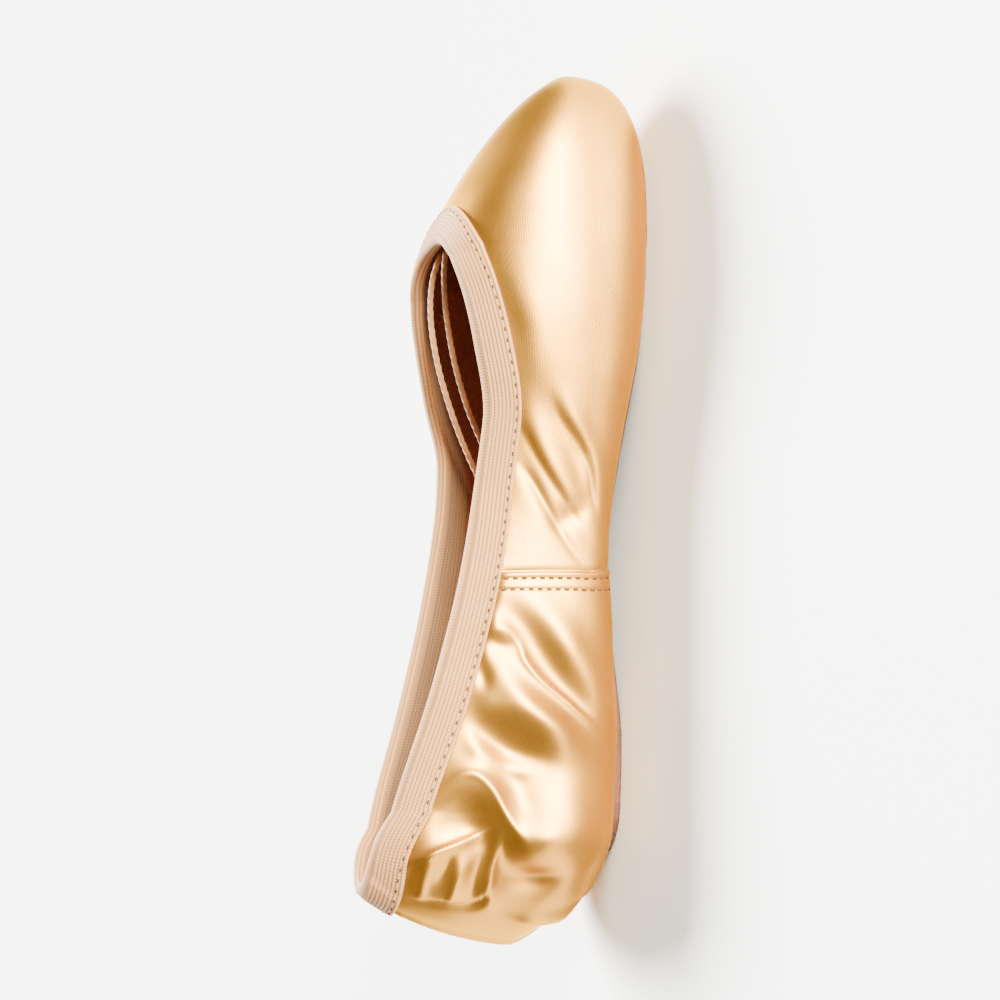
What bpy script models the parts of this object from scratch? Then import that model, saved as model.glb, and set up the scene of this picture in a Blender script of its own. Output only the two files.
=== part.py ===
# Pointe shoe: satin upper over its stiff box, leather outsole, insole, collar binding and drawstring ends.
# Metres. +X runs from heel to toe, +Z is up, and the floor is z = 0 under the outsole.
# The shoe is straight lasted, so each piece but the drawstring is the same on both sides of y = 0.

from collections import namedtuple

import bmesh
import bpy
import numpy as np

# Driving sizes of the last
LENGTH = 0.240
BALL_WIDTH = 0.074
WAIST_WIDTH = 0.051
HEEL_WIDTH = 0.052
THROAT_HEIGHT = 0.0585
TOE_HEIGHT = 0.034
SIDE_HEIGHT = 0.0432
HEEL_HEIGHT = 0.0625
HEEL_ROUND = 0.0145
ARCH_RISE = 0.0052
TOE_SPRING = 0.0032

# Collar: its gape at the waist and at the instep, and how far it runs on past the heel's and ball's pivots
COLLAR_WIDTH = 0.037
INSTEP_WIDTH = 0.047
THROAT_RUN = 0.011
HEEL_RUN = 0.019

# Wall of the upper, thicker where paste and burlap stiffen the box
QUARTER_WALL = 0.0018
BOX_WALL = 0.0030
BOX_BLEND = 0.022

# Side seam, where the quarter's folded edge laps over the vamp, and the ridge of the centre back seam
SEAM_STATION = 0.385
SEAM_LEAN = 0.0093
SEAM_STEP = 0.0005
SEAM_LAP = 0.0009
SEAM_FADE = 0.018
BACK_RIDGE = 0.0006
BACK_RIDGE_WIDTH = 0.0034

# Outsole, insole, binding and drawstring
SOLE_THICKNESS = 0.0022
SOLE_WIDTH = 0.035
SOLE_WAIST = 0.020
SOLE_HEEL = 0.025
SOLE_BEVEL = 0.0008
INSOLE_THICKNESS = 0.0012
INSOLE_MARGIN = 0.0110
LASTING_MARGIN = 0.0070
FRONT_MARGINS = 1.4
BINDING_DEPTH = 0.0085
BINDING_THICKNESS = 0.0007
BINDING_HEADROOM = 0.0004
CORD_DIAMETER = 0.0016
GAP = 0.0003

# Places along the shoe, as shares of its length from the heel
HEEL_PIVOT = 0.117
COLLAR_WAIST = 0.458
INSTEP = 0.625
BALL_PIVOT = 0.733
SOLE_REAR = 0.096
SOLE_FRONT = 0.884

# Mesh steps
TAPE_ROWS = 2
WALL_ROWS = 15
TINY = 1e-4


def between(low, high, share):
    """The value that lies a share of the way from low to high."""
    return low + (high - low) * share


# Full width of the last, and the height of its widest line
Section = namedtuple("Section", "station width belly")
SECTIONS = (
    Section(station=0.000, width=HEEL_WIDTH, belly=0.455 * THROAT_HEIGHT),
    Section(station=0.117, width=HEEL_WIDTH, belly=0.370 * THROAT_HEIGHT),
    Section(station=0.250, width=between(WAIST_WIDTH, HEEL_WIDTH, 0.90), belly=0.335 * THROAT_HEIGHT),
    Section(station=0.375, width=WAIST_WIDTH, belly=0.320 * THROAT_HEIGHT),
    Section(station=0.500, width=between(WAIST_WIDTH, BALL_WIDTH, 0.26), belly=0.330 * THROAT_HEIGHT),
    Section(station=0.617, width=between(WAIST_WIDTH, BALL_WIDTH, 0.74), belly=0.350 * THROAT_HEIGHT),
    Section(station=0.733, width=BALL_WIDTH, belly=0.370 * THROAT_HEIGHT),
    Section(station=0.875, width=BALL_WIDTH, belly=0.387 * THROAT_HEIGHT),
    Section(station=1.000, width=BALL_WIDTH, belly=0.370 * THROAT_HEIGHT),
)

# Height of the vamp along its middle, as if it ran on over the throat
Vamp = namedtuple("Vamp", "station height")
VAMP = (
    Vamp(station=0.733, height=THROAT_HEIGHT),
    Vamp(station=0.775, height=between(TOE_HEIGHT, THROAT_HEIGHT, 0.92)),
    Vamp(station=0.833, height=between(TOE_HEIGHT, THROAT_HEIGHT, 0.75)),
    Vamp(station=0.896, height=between(TOE_HEIGHT, THROAT_HEIGHT, 0.53)),
    Vamp(station=0.950, height=between(TOE_HEIGHT, THROAT_HEIGHT, 0.29)),
    Vamp(station=1.000, height=TOE_HEIGHT),
)

# How far the upper's underside rises from where it lies on a flat outsole
Underside = namedtuple("Underside", "station rise")
UNDERSIDE = (
    Underside(station=0.000, rise=1.00 * HEEL_ROUND),
    Underside(station=0.050, rise=0.30 * HEEL_ROUND),
    Underside(station=0.092, rise=0.06 * HEEL_ROUND),
    Underside(station=0.133, rise=0.00),
    Underside(station=0.208, rise=0.00),
    Underside(station=0.333, rise=0.62 * ARCH_RISE),
    Underside(station=0.438, rise=1.00 * ARCH_RISE),
    Underside(station=0.542, rise=0.70 * ARCH_RISE),
    Underside(station=0.667, rise=0.08 * ARCH_RISE),
    Underside(station=0.733, rise=0.00),
    Underside(station=0.875, rise=0.00),
    Underside(station=0.938, rise=0.25 * TOE_SPRING),
    Underside(station=1.000, rise=1.00 * TOE_SPRING),
)

# Height of the collar behind the ball
Collar = namedtuple("Collar", "station height")
COLLAR = (
    Collar(station=0.000, height=HEEL_HEIGHT),
    Collar(station=0.117, height=between(SIDE_HEIGHT, HEEL_HEIGHT, 0.79)),
    Collar(station=0.250, height=between(SIDE_HEIGHT, HEEL_HEIGHT, 0.41)),
    Collar(station=0.375, height=between(SIDE_HEIGHT, HEEL_HEIGHT, 0.14)),
    Collar(station=0.458, height=between(SIDE_HEIGHT, HEEL_HEIGHT, 0.04)),
    Collar(station=0.542, height=SIDE_HEIGHT),
    Collar(station=0.625, height=between(SIDE_HEIGHT, THROAT_HEIGHT, 0.28)),
    Collar(station=0.683, height=between(SIDE_HEIGHT, THROAT_HEIGHT, 0.52)),
)

# Width of the outsole between its rounded ends
Sole = namedtuple("Sole", "station width")
SOLE = (
    Sole(station=0.150, width=SOLE_HEEL),
    Sole(station=0.250, width=between(SOLE_WAIST, SOLE_HEEL, 0.70)),
    Sole(station=0.420, width=SOLE_WAIST),
    Sole(station=0.600, width=between(SOLE_WAIST, SOLE_WIDTH, 0.62)),
    Sole(station=0.733, width=SOLE_WIDTH),
    Sole(station=0.800, width=SOLE_WIDTH),
)

# Shares of a rib: where the side seam crosses its own station, and where the relief is full
LEAN_CENTRE = 0.4
RELIEF_FULL = 0.12

# Angles down a rib between which the relief dies out before the outsole
RELIEF_LOW = 0.62 * np.pi
RELIEF_END = 0.74 * np.pi

# Powers of the rounded sections on the ribs: 2 is an ellipse, and more is boxier
Roundness = namedtuple("Roundness", "rib above below")
ROUNDNESS = (
    Roundness(rib=0.00, above=2.0, below=2.6),
    Roundness(rib=1.00, above=1.8, below=3.4),
    Roundness(rib=1.35, above=1.7, below=3.6),
    Roundness(rib=1.70, above=1.9, below=3.8),
    Roundness(rib=2.00, above=2.2, below=4.0),
    Roundness(rib=2.50, above=2.6, below=3.8),
    Roundness(rib=3.00, above=3.2, below=3.6),
)
HEEL_PLAN_POWER = 2.2
TOE_PLAN_POWER = 2.6
COLLAR_HEEL_POWER = 2.2
THROAT_POWER = 2.4

# The drawstring's ends, from inside the throat back along the foot and down onto the insole
CORD_ROUTES = {
    "drawstring_upper": (
        (0.0660, 0.0030, 0.0523),
        (0.0579, 0.0038, 0.0539),
        (0.0497, 0.0046, 0.0538),
        (0.0416, 0.0055, 0.0523),
        (0.0337, 0.0063, 0.0500),
        (0.0260, 0.0069, 0.0471),
        (0.0184, 0.0075, 0.0437),
        (0.0111, 0.0080, 0.0399),
        (0.0039, 0.0084, 0.0357),
        (-0.0031, 0.0087, 0.0313),
        (-0.0100, 0.0090, 0.0267),
        (-0.0169, 0.0093, 0.0221),
        (-0.0238, 0.0095, 0.0175),
        (-0.0310, 0.0097, 0.0134),
        (-0.0388, 0.0098, 0.0107),
        (-0.0470, 0.0100, 0.0096),
    ),
    "drawstring_lower": (
        (0.0655, -0.0010, 0.0522),
        (0.0580, 0.0005, 0.0517),
        (0.0504, 0.0017, 0.0505),
        (0.0429, 0.0025, 0.0488),
        (0.0355, 0.0032, 0.0467),
        (0.0282, 0.0038, 0.0441),
        (0.0212, 0.0044, 0.0410),
        (0.0144, 0.0048, 0.0374),
        (0.0077, 0.0051, 0.0335),
        (0.0012, 0.0052, 0.0293),
        (-0.0051, 0.0052, 0.0249),
        (-0.0114, 0.0052, 0.0204),
        (-0.0179, 0.0051, 0.0162),
        (-0.0249, 0.0049, 0.0129),
        (-0.0323, 0.0044, 0.0110),
        (-0.0400, 0.0038, 0.0102),
    ),
}
CORD_STEP = 2.5 * CORD_DIAMETER

Finish = namedtuple("Finish", "color roughness metallic")
FINISHES = {
    "upper": Finish(color=(0.76, 0.50, 0.29), roughness=0.35, metallic=0.15),
    "outsole": Finish(color=(0.24, 0.13, 0.08), roughness=0.75, metallic=0.0),
    "insole": Finish(color=(0.30, 0.15, 0.09), roughness=0.85, metallic=0.0),
    "binding": Finish(color=(0.72, 0.50, 0.38), roughness=0.90, metallic=0.0),
    "drawstring": Finish(color=(0.66, 0.46, 0.34), roughness=0.85, metallic=0.0),
}


def station_x(station):
    """A share of the length, as a place along X."""
    return (station - 0.5) * LENGTH


HEEL_X = station_x(HEEL_PIVOT)
BALL_X = station_x(BALL_PIVOT)
COLLAR_REAR = HEEL_X - HEEL_RUN
COLLAR_FRONT = BALL_X + THROAT_RUN


def smooth_curve(at, places, values):
    """A smooth curve through the values, level at both ends and never past its neighbours."""
    rises = np.diff(values) / np.diff(places)
    slopes = np.zeros(len(places))
    same_way = rises[:-1] * rises[1:] > 0
    before, after = np.diff(places)[:-1], np.diff(places)[1:]
    mean = (rises[:-1] * after + rises[1:] * before) / (before + after)
    limit = 3 * np.minimum(np.abs(rises[:-1]), np.abs(rises[1:]))
    slopes[1:-1] = np.where(same_way, np.sign(mean) * np.minimum(np.abs(mean), limit), 0)
    at = np.clip(at, places[0], places[-1])
    left = np.clip(np.searchsorted(places, at) - 1, 0, len(places) - 2)
    span = places[left + 1] - places[left]
    t = (at - places[left]) / span
    level = values[left] * (1 + 2 * t) * (1 - t) ** 2 + values[left + 1] * t * t * (3 - 2 * t)
    return level + span * (slopes[left] * t * (1 - t) ** 2 - slopes[left + 1] * t * t * (1 - t))


def along(rows, column, x):
    """A column of a table of stations, read as a smooth curve at x."""
    places = np.array([station_x(row.station) for row in rows])
    return smooth_curve(x, places, np.array([getattr(row, column) for row in rows]))


def roundness(q, column):
    """A column of the table of powers, read at rib q."""
    ribs = np.array([row.rib for row in ROUNDNESS])
    return smooth_curve(q, ribs, np.array([getattr(row, column) for row in ROUNDNESS]))


def ease(share):
    """A smooth step from 0 to 1."""
    share = np.clip(share, 0, 1)
    return share * share * (3 - 2 * share)


def superellipse(c, s, run, half, power):
    """Distance to a superellipse of the given half sizes, in the direction (c, s)."""
    return (np.abs(c / run) ** power + np.abs(s / half) ** power) ** (-1 / power)


def underside_level(x):
    """Height of the upper's underside on the middle line: on the outsole, its arch and its toe spring."""
    return SOLE_THICKNESS + GAP + along(UNDERSIDE, "rise", x)


def plan_rib(q):
    """Where rib q stands on the middle line, its direction in plan, and its reach to the widest line.

    Ribs 0 to 1 fan round the heel, 1 to 2 stand square along the side, and 2 to 3 fan round the toe.
    """
    foot = np.where(q < 1, HEEL_X, np.where(q < 2, between(HEEL_X, BALL_X, q - 1), BALL_X))
    angle = np.where(q < 1, np.pi - q * np.pi / 2, np.where(q < 2, np.pi / 2, (3 - q) * np.pi / 2))
    c, s = np.cos(angle), np.sin(angle)
    heel_run = HEEL_X - station_x(0) - BACK_RIDGE
    heel = superellipse(c, s, heel_run, HEEL_WIDTH / 2, HEEL_PLAN_POWER)
    toe = superellipse(c, s, station_x(1) - BALL_X, BALL_WIDTH / 2, TOE_PLAN_POWER)
    side = along(SECTIONS, "width", foot) / 2
    return foot, c, s, np.where(q < 1, heel, np.where(q < 2, side, toe))


def closing(share, power):
    """A superellipse's half width, from 1 down to 0 as share goes from 0 to 1."""
    return (1 - np.clip(share, 0, 1) ** power) ** (1 / power)


def half_gape(x):
    """Half the collar's width: it closes to the heel and to the throat, and widens from waist to instep."""
    waist, instep = station_x(COLLAR_WAIST), station_x(INSTEP)
    heel = closing((waist - x) / (waist - COLLAR_REAR), COLLAR_HEEL_POWER)
    throat = closing((x - instep) / (COLLAR_FRONT - instep), THROAT_POWER)
    full = between(COLLAR_WIDTH, INSTEP_WIDTH, ease((x - waist) / (instep - waist)))
    return full / 2 * heel * throat


def rib_over(x, y):
    """The rib over a place in plan, and where that rib stands on the middle line."""
    foot = np.clip(x, HEEL_X, BALL_X)
    angle = np.arctan2(y, x - foot)
    side = between(1, 2, (foot - HEEL_X) / (BALL_X - HEEL_X))
    q = np.where(x < HEEL_X, 2 * (1 - angle / np.pi), np.where(x > BALL_X, 3 - 2 * angle / np.pi, side))
    return q, foot


def collar_crossings(samples=3000):
    """Ribs that the collar crosses on its way from heel to throat, and its distance from their feet."""
    x = between(COLLAR_REAR, COLLAR_FRONT, (1 - np.cos(np.linspace(0, np.pi, samples))) / 2)
    y = half_gape(x)
    q, foot = rib_over(x, y)
    return q, np.hypot(x - foot, y)


CROSSED_RIBS, CROSSING_REACH = collar_crossings()


def collar_reach(q):
    """How far from the middle line the collar crosses rib q, the same on both sides of y = 0."""
    return np.interp(3 - np.abs(3 - np.abs(q)), CROSSED_RIBS, CROSSING_REACH)


def throat_side_height():
    """Height of the vamp where the collar's side passes the ball."""
    belly = along(SECTIONS, "belly", BALL_X)
    share = 2 * half_gape(BALL_X) / BALL_WIDTH
    return belly + (THROAT_HEIGHT - belly) * closing(share, roundness(2.0, "above"))


COLLAR_LINE = COLLAR + (
    Collar(station=BALL_PIVOT, height=throat_side_height()),
    Collar(station=BALL_PIVOT + THROAT_RUN / LENGTH, height=along(VAMP, "height", COLLAR_FRONT)),
)


def crown(q, x):
    """Height that rib q's upper arc aims for over the middle line, so that it passes through the collar."""
    foot, c, _, reach = plan_rib(q)
    widest = foot + c * reach
    belly = along(SECTIONS, "belly", widest)
    power = roundness(q, "above")
    fall = closing(collar_reach(q) / reach, power)
    quarter = belly + (along(COLLAR_LINE, "height", widest) - belly) / fall
    return np.where(q <= 2, quarter, along(VAMP, "height", x))


def last(q, phi):
    """The last's surface on rib q: phi is 0 over the middle line and a quarter turn at the widest line."""
    foot, c, s, reach = plan_rib(q)
    above = phi <= np.pi / 2
    power = np.where(above, roundness(q, "above"), roundness(q, "below"))
    out = np.clip(np.sin(phi), 0, 1) ** (2 / power)
    up = np.abs(np.cos(phi)) ** (2 / power)
    x = foot + c * reach * out
    belly = along(SECTIONS, "belly", foot + c * reach)
    z = np.where(above, belly + (crown(q, x) - belly) * up, belly - (belly - underside_level(x)) * up)
    return np.stack([x, s * reach * out, z], -1)


def last_normal(q, phi):
    """Unit normal of the last's surface, outwards."""
    down_rib = last(q, phi + TINY) - last(q, phi - TINY)
    across_ribs = last(q + TINY, phi) - last(q - TINY, phi)
    normal = np.cross(across_ribs, down_rib)
    return normal / np.linalg.norm(normal, axis=-1, keepdims=True)


def collar_phi(q):
    """Where the collar crosses rib q."""
    share = collar_reach(q) / plan_rib(q)[3]
    return np.arcsin(share ** (roundness(q, "above") / 2))


def opening_phi(q):
    """Where the upper ends on rib q under the foot, a lasting margin inside the outsole's edge."""
    foot, c, s, reach = plan_rib(q)
    half = np.maximum(along(SOLE, "width", foot) / 2 - LASTING_MARGIN, LASTING_MARGIN / 2)
    rear = superellipse(c, s, LASTING_MARGIN / 4, half, 2)
    front_run = station_x(SOLE_FRONT) - BALL_X - FRONT_MARGINS * LASTING_MARGIN
    front = superellipse(c, s, front_run, half, 2)
    inner = np.where(q < 1, rear, np.where(q < 2, half, front))
    return np.pi - np.arcsin((inner / reach) ** (roundness(q, "below") / 2))


def rib_length(q, samples=64):
    """Points along one rib from collar to opening, and the length run at each."""
    phi = np.linspace(collar_phi(q), opening_phi(q), samples)
    steps = np.linalg.norm(np.diff(last(np.full(samples, q), phi), axis=0), axis=-1)
    return phi, np.concatenate([[0], np.cumsum(steps)])


def collar_slant(q):
    """How much longer the rib runs than the binding is deep, because it meets the collar's edge askew."""
    phi = collar_phi(q)
    edge = last(q + TINY, collar_phi(q + TINY)) - last(q - TINY, collar_phi(q - TINY))
    rib = last(q, phi + TINY) - last(q, phi)
    return np.linalg.norm(edge) * np.linalg.norm(rib) / np.linalg.norm(np.cross(edge, rib))


def seam_rib():
    """The rib that the side seam follows."""
    return 1 + (station_x(SEAM_STATION) - HEEL_X) / (BALL_X - HEEL_X)


def leaning(q, share):
    """Ribs near the side seam lean, so that one rib follows it from collar to sole."""
    near = np.sin(np.pi * np.clip(q - 1, 0, 1)) ** 2
    return q + near * (share - LEAN_CENTRE) * SEAM_LEAN / (BALL_X - HEEL_X)


def relief(q, phi, share):
    """How proud the quarter's lapped edge and the centre back seam stand of the last."""
    behind = (seam_rib() - q) * (BALL_X - HEEL_X)
    lap = np.where(behind > -TINY / 10, 1 - ease((behind - SEAM_FADE) / SEAM_FADE), 0)
    off_sole = 1 - ease((phi - RELIEF_LOW) / (RELIEF_END - RELIEF_LOW))
    from_middle = np.abs(last(q, phi)[1])
    ridge = np.where(q < 1, 1 - ease(2 * from_middle / BACK_RIDGE_WIDTH), 0)
    below_binding = ease(share / RELIEF_FULL)
    return below_binding * off_sole * (SEAM_STEP * lap + BACK_RIDGE * ridge)


def wall_place(q, row):
    """Rib, phi and share of the rib for a row of the upper: collar, binding's edge, then to the opening."""
    share = max(row - TAPE_ROWS + 1, 0) / WALL_ROWS
    rib = float(leaning(q, share))
    phi, run = rib_length(rib)
    depth = BINDING_DEPTH * collar_slant(rib)
    if row < TAPE_ROWS:
        return rib, float(np.interp(row * depth, run, phi)), share
    measure = run / run[-1] + (phi - phi[0]) / (phi[-1] - phi[0])
    start = np.interp(depth, run, measure)
    return rib, float(np.interp(between(start, 2, share), measure, phi)), share


def wall_point(q, row, out=0.0):
    """A point of the upper's outside, moved out along the normal."""
    rib, phi, share = wall_place(q, row)
    return last(rib, phi) + last_normal(rib, phi) * (relief(q, phi, share) + out)


def edge_point(q, out=0.0, past=0.0):
    """A point beside the collar's edge, moved square out of the wall's top strip, and on past the edge."""
    edge, below = wall_point(q, 0), wall_point(q, 1)
    rib, phi, _ = wall_place(q, 0)
    upwards = (edge - below) / np.linalg.norm(edge - below)
    normal = last_normal(rib, phi)
    normal = normal - upwards * normal.dot(upwards)
    return edge + normal / np.linalg.norm(normal) * out + upwards * past


def wall_thickness(x, depth=1.0):
    """Thickness of the upper: the quarter's wall, growing to the box's ahead of the waist."""
    forward = ease((x - station_x(0.5)) / (BALL_X - station_x(0.5)))
    below = ease((depth - BINDING_DEPTH) / BOX_BLEND)
    return between(QUARTER_WALL, BOX_WALL, forward * below)


def half_ribs():
    """Ribs of one side, from the middle of the heel to the middle of the toe."""
    seam = seam_rib()
    lap = SEAM_LAP / (BALL_X - HEEL_X)
    ridge_end = BACK_RIDGE_WIDTH / HEEL_WIDTH
    back = [0, ridge_end / 2, ridge_end]
    heel = np.linspace(ridge_end, 1, 9)[1:-1]
    quarter = np.linspace(1, seam, 13)
    vamp = np.linspace(seam + lap, 2, 11)
    toe = np.linspace(2, 3, 12)[1:]
    return np.concatenate([back, heel, quarter, vamp, toe])


def lattice_mesh(name, points, closed=False, rising=()):
    """A mesh through a lattice of points, ribs by rows; faces look towards ribs crossed with rows.

    Rising rows run back up the wall, and there the other diagonal keeps the facets level with the wall's.
    """
    ribs, rows, _ = points.shape
    mesh = bmesh.new()
    verts = [[mesh.verts.new(point) for point in rib] for rib in points.tolist()]
    for near, far in zip(verts, verts[1:]):
        for k in range(rows if closed else rows - 1):
            after = (k + 1) % rows
            if k in rising:
                mesh.faces.new((near[k], far[k], near[after]))
                mesh.faces.new((far[k], far[after], near[after]))
            else:
                mesh.faces.new((near[k], far[k], far[after]))
                mesh.faces.new((near[k], far[after], near[after]))
    bmesh.ops.remove_doubles(mesh, verts=mesh.verts, dist=TINY / 100)
    data = bpy.data.meshes.new(name)
    mesh.to_mesh(data)
    mesh.free()
    return data


def add_object(collection, name, data, finish):
    """An object in the shoe's collection with a material of its own."""
    material = bpy.data.materials.new(name)
    material.use_nodes = True
    shader = material.node_tree.nodes["Principled BSDF"]
    shader.inputs["Base Color"].default_value = (*finish.color, 1)
    shader.inputs["Roughness"].default_value = finish.roughness
    shader.inputs["Metallic"].default_value = finish.metallic
    data.materials.append(material)
    piece = bpy.data.objects.new(name, data)
    collection.objects.link(piece)
    return piece


def mirror_sides(piece):
    """The other side of a half that is open at y = 0."""
    mirror = piece.modifiers.new("sides", "MIRROR")
    mirror.use_axis = (False, True, False)
    mirror.merge_threshold = TINY / 10


def flatten_middle(points):
    """Put the first and last rib exactly on y = 0."""
    points[0, :, 1] = 0
    points[-1, :, 1] = 0
    return points


def build_upper(collection):
    """The outside as an open sheet from collar to opening, mirrored, then given its wall."""
    ribs = half_ribs()
    rows = TAPE_ROWS + WALL_ROWS
    points = flatten_middle(np.array([[wall_point(q, row) for row in range(rows)] for q in ribs]))
    runs = np.linalg.norm(points - points[:, :1], axis=-1)
    data = lattice_mesh("upper", points)
    upper = add_object(collection, "upper", data, FINISHES["upper"])
    mirror_sides(upper)
    wall = upper.vertex_groups.new(name="wall")
    weights = wall_thickness(points[..., 0], runs) / BOX_WALL
    for index, weight in enumerate(weights.ravel().tolist()):
        wall.add([index], weight, "REPLACE")
    solidify = upper.modifiers.new("wall", "SOLIDIFY")
    solidify.thickness = BOX_WALL
    solidify.offset = -1
    solidify.use_even_offset = True
    solidify.vertex_group = "wall"
    data.shade_smooth()
    data.set_sharp_from_angle(angle=np.radians(50))
    return upper


def build_binding(collection):
    """Tape folded over the collar's edge: two legs, and a fold with room over the edge."""
    inside = GAP
    outside = GAP + BINDING_THICKNESS
    middle = -QUARTER_WALL / 2
    fold = QUARTER_WALL / 2 + BINDING_HEADROOM

    def section(q):
        far_inside, far_outside = -QUARTER_WALL - inside, -QUARTER_WALL - outside
        return (
            edge_point(q, middle, fold + outside),
            edge_point(q, outside, BINDING_HEADROOM),
            wall_point(q, 1, outside),
            wall_point(q, 1, inside),
            edge_point(q, inside, BINDING_HEADROOM),
            edge_point(q, middle, fold + inside),
            edge_point(q, far_inside, BINDING_HEADROOM),
            wall_point(q, 1, far_inside),
            wall_point(q, 1, far_outside),
            edge_point(q, far_outside, BINDING_HEADROOM),
        )

    points = flatten_middle(np.array([section(q) for q in half_ribs()]))
    data = lattice_mesh("binding", points, closed=True, rising=(3, 8))
    binding = add_object(collection, "binding", data, FINISHES["binding"])
    mirror_sides(binding)
    data.shade_smooth()
    data.set_sharp_from_angle(angle=np.radians(50))
    return binding


def underside(x, y):
    """Height of the last's underside over a place of the floor."""
    y = np.abs(y)
    q, _ = rib_over(x, y)
    foot, c, _, reach = plan_rib(q)
    share = np.clip(np.hypot(x - foot, y) / reach, 0, 0.999)
    belly = along(SECTIONS, "belly", foot + c * reach)
    power = roundness(q, "below")
    return belly - (belly - underside_level(x)) * (1 - share**power) ** (1 / power)


def inner_floor(x, y):
    """Height of the upper's inside over a place of the floor."""
    slope_x = (underside(x + TINY, y) - underside(x - TINY, y)) / (2 * TINY)
    slope_y = (underside(x, y + TINY) - underside(x, y - TINY)) / (2 * TINY)
    return underside(x, y) + wall_thickness(x) * np.sqrt(1 + slope_x**2 + slope_y**2)


def plate_ribs(rear, front, rear_pivot, front_pivot, half_width, sides, ends):
    """Middle points and edge points of a plate with rounded ends, from its rear end round to its front."""
    feet, edges = [], []
    turn = np.linspace(0, np.pi / 2, ends)
    for angle in turn[:-1]:
        half = half_width(rear_pivot)
        feet.append((rear_pivot, 0))
        edges.append((rear_pivot - (rear_pivot - rear) * np.cos(angle), half * np.sin(angle)))
    for x in np.linspace(rear_pivot, front_pivot, sides):
        feet.append((x, 0))
        edges.append((x, half_width(x)))
    for angle in turn[-2::-1]:
        half = half_width(front_pivot)
        feet.append((front_pivot, 0))
        edges.append((front_pivot + (front - front_pivot) * np.cos(angle), half * np.sin(angle)))
    return np.array(feet, float), np.array(edges, float)


def plate_points(feet, edges, shares, height):
    """Points at shares of the way from the middle line to the edge, at the height given there."""
    rings = []
    for share in shares:
        x, y = (feet + (edges - feet) * share).T
        rings.append(np.stack([x, y, height(x, y)], -1))
    return rings


def build_outsole(collection):
    """Narrow leather sole: flat under forefoot and heel, arched between, its top bent to the upper."""
    half_width = lambda x: float(along(SOLE, "width", x)) / 2
    rear = station_x(SOLE_REAR)
    front = station_x(SOLE_FRONT)
    rear_pivot = rear + SOLE_HEEL / 2
    front_pivot = front - SOLE_WIDTH / 2
    feet, edges = plate_ribs(rear, front, rear_pivot, front_pivot, half_width, sides=26, ends=7)
    bevel = 1 - 2 * SOLE_BEVEL / SOLE_WAIST
    top = plate_points(feet, edges, (0, 0.4, 0.7, 1), lambda x, y: underside(x, y) - GAP)
    bottom = plate_points(feet, edges, (1, bevel, 0), lambda x, y: along(UNDERSIDE, "rise", x))
    bottom[0][:, 2] += SOLE_BEVEL
    points = np.stack(top + bottom, 1)
    data = lattice_mesh("outsole", flatten_middle(points))
    outsole = add_object(collection, "outsole", data, FINISHES["outsole"])
    mirror_sides(outsole)
    data.shade_smooth()
    data.set_sharp_from_angle(angle=np.radians(35))
    return outsole


def build_insole(collection):
    """Thin sock that lies in the upper, over the lasting margin and the opening."""
    half_width = lambda x: float(along(SECTIONS, "width", x)) / 2 - INSOLE_MARGIN
    rear = station_x(0) + 1.4 * INSOLE_MARGIN
    front = station_x(1) - 2 * INSOLE_MARGIN
    rear_pivot = rear + half_width(HEEL_X)
    front_pivot = front - half_width(BALL_X)
    feet, edges = plate_ribs(rear, front, rear_pivot, front_pivot, half_width, sides=24, ends=7)
    shares = (0, 0.45, 0.75, 1)
    top = plate_points(feet, edges, shares, lambda x, y: inner_floor(x, y) + GAP + INSOLE_THICKNESS)
    bottom = plate_points(feet, edges, shares[::-1], lambda x, y: inner_floor(x, y) + GAP)
    data = lattice_mesh("insole", flatten_middle(np.stack(top + bottom, 1)))
    insole = add_object(collection, "insole", data, FINISHES["insole"])
    mirror_sides(insole)
    data.shade_smooth()
    data.set_sharp_from_angle(angle=np.radians(50))
    return insole


def spline_points(route, step):
    """Evenly spaced points on a smooth curve through a route's points."""
    route = np.array(route)
    ends = np.vstack([2 * route[0] - route[1], route, 2 * route[-1] - route[-2]])
    dense = []
    for a, b, c, d in zip(ends, ends[1:], ends[2:], ends[3:]):
        for t in np.linspace(0, 1, 20, endpoint=False):
            bend = (2 * a - 5 * b + 4 * c - d) * t**2 + (3 * b - a - 3 * c + d) * t**3
            dense.append(b + 0.5 * ((c - a) * t + bend))
    dense.append(route[-1])
    dense = np.array(dense)
    run = np.concatenate([[0], np.cumsum(np.linalg.norm(np.diff(dense, axis=0), axis=1))])
    even = np.linspace(0, run[-1], round(run[-1] / step) + 1)
    return np.stack([np.interp(even, run, dense[:, axis]) for axis in range(3)], -1)


def build_cord(collection, name, route):
    """A free cord end as a curve with a round section."""
    points = spline_points(route, CORD_STEP)
    data = bpy.data.curves.new(name, "CURVE")
    data.dimensions = "3D"
    data.bevel_depth = CORD_DIAMETER / 2
    data.bevel_resolution = 2
    data.render_resolution_u = 0
    data.use_fill_caps = True
    spline = data.splines.new("POLY")
    spline.points.add(len(points) - 1)
    for target, point in zip(spline.points, points):
        target.co = (*point, 1)
    return add_object(collection, name, data, FINISHES["drawstring"])


def main():
    for old in list(bpy.data.objects):
        bpy.data.objects.remove(old, do_unlink=True)
    collection = bpy.data.collections.new("pointe_shoe")
    bpy.context.scene.collection.children.link(collection)
    build_upper(collection)
    build_outsole(collection)
    build_insole(collection)
    build_binding(collection)
    for name, route in CORD_ROUTES.items():
        build_cord(collection, name, route)


main()
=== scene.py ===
"""Looks of a satin pointe shoe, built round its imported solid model. Metres, +X from heel to toe, +Z up."""

from collections import namedtuple

import bmesh
import bpy
import numpy as np
from mathutils import Matrix, Vector


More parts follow.
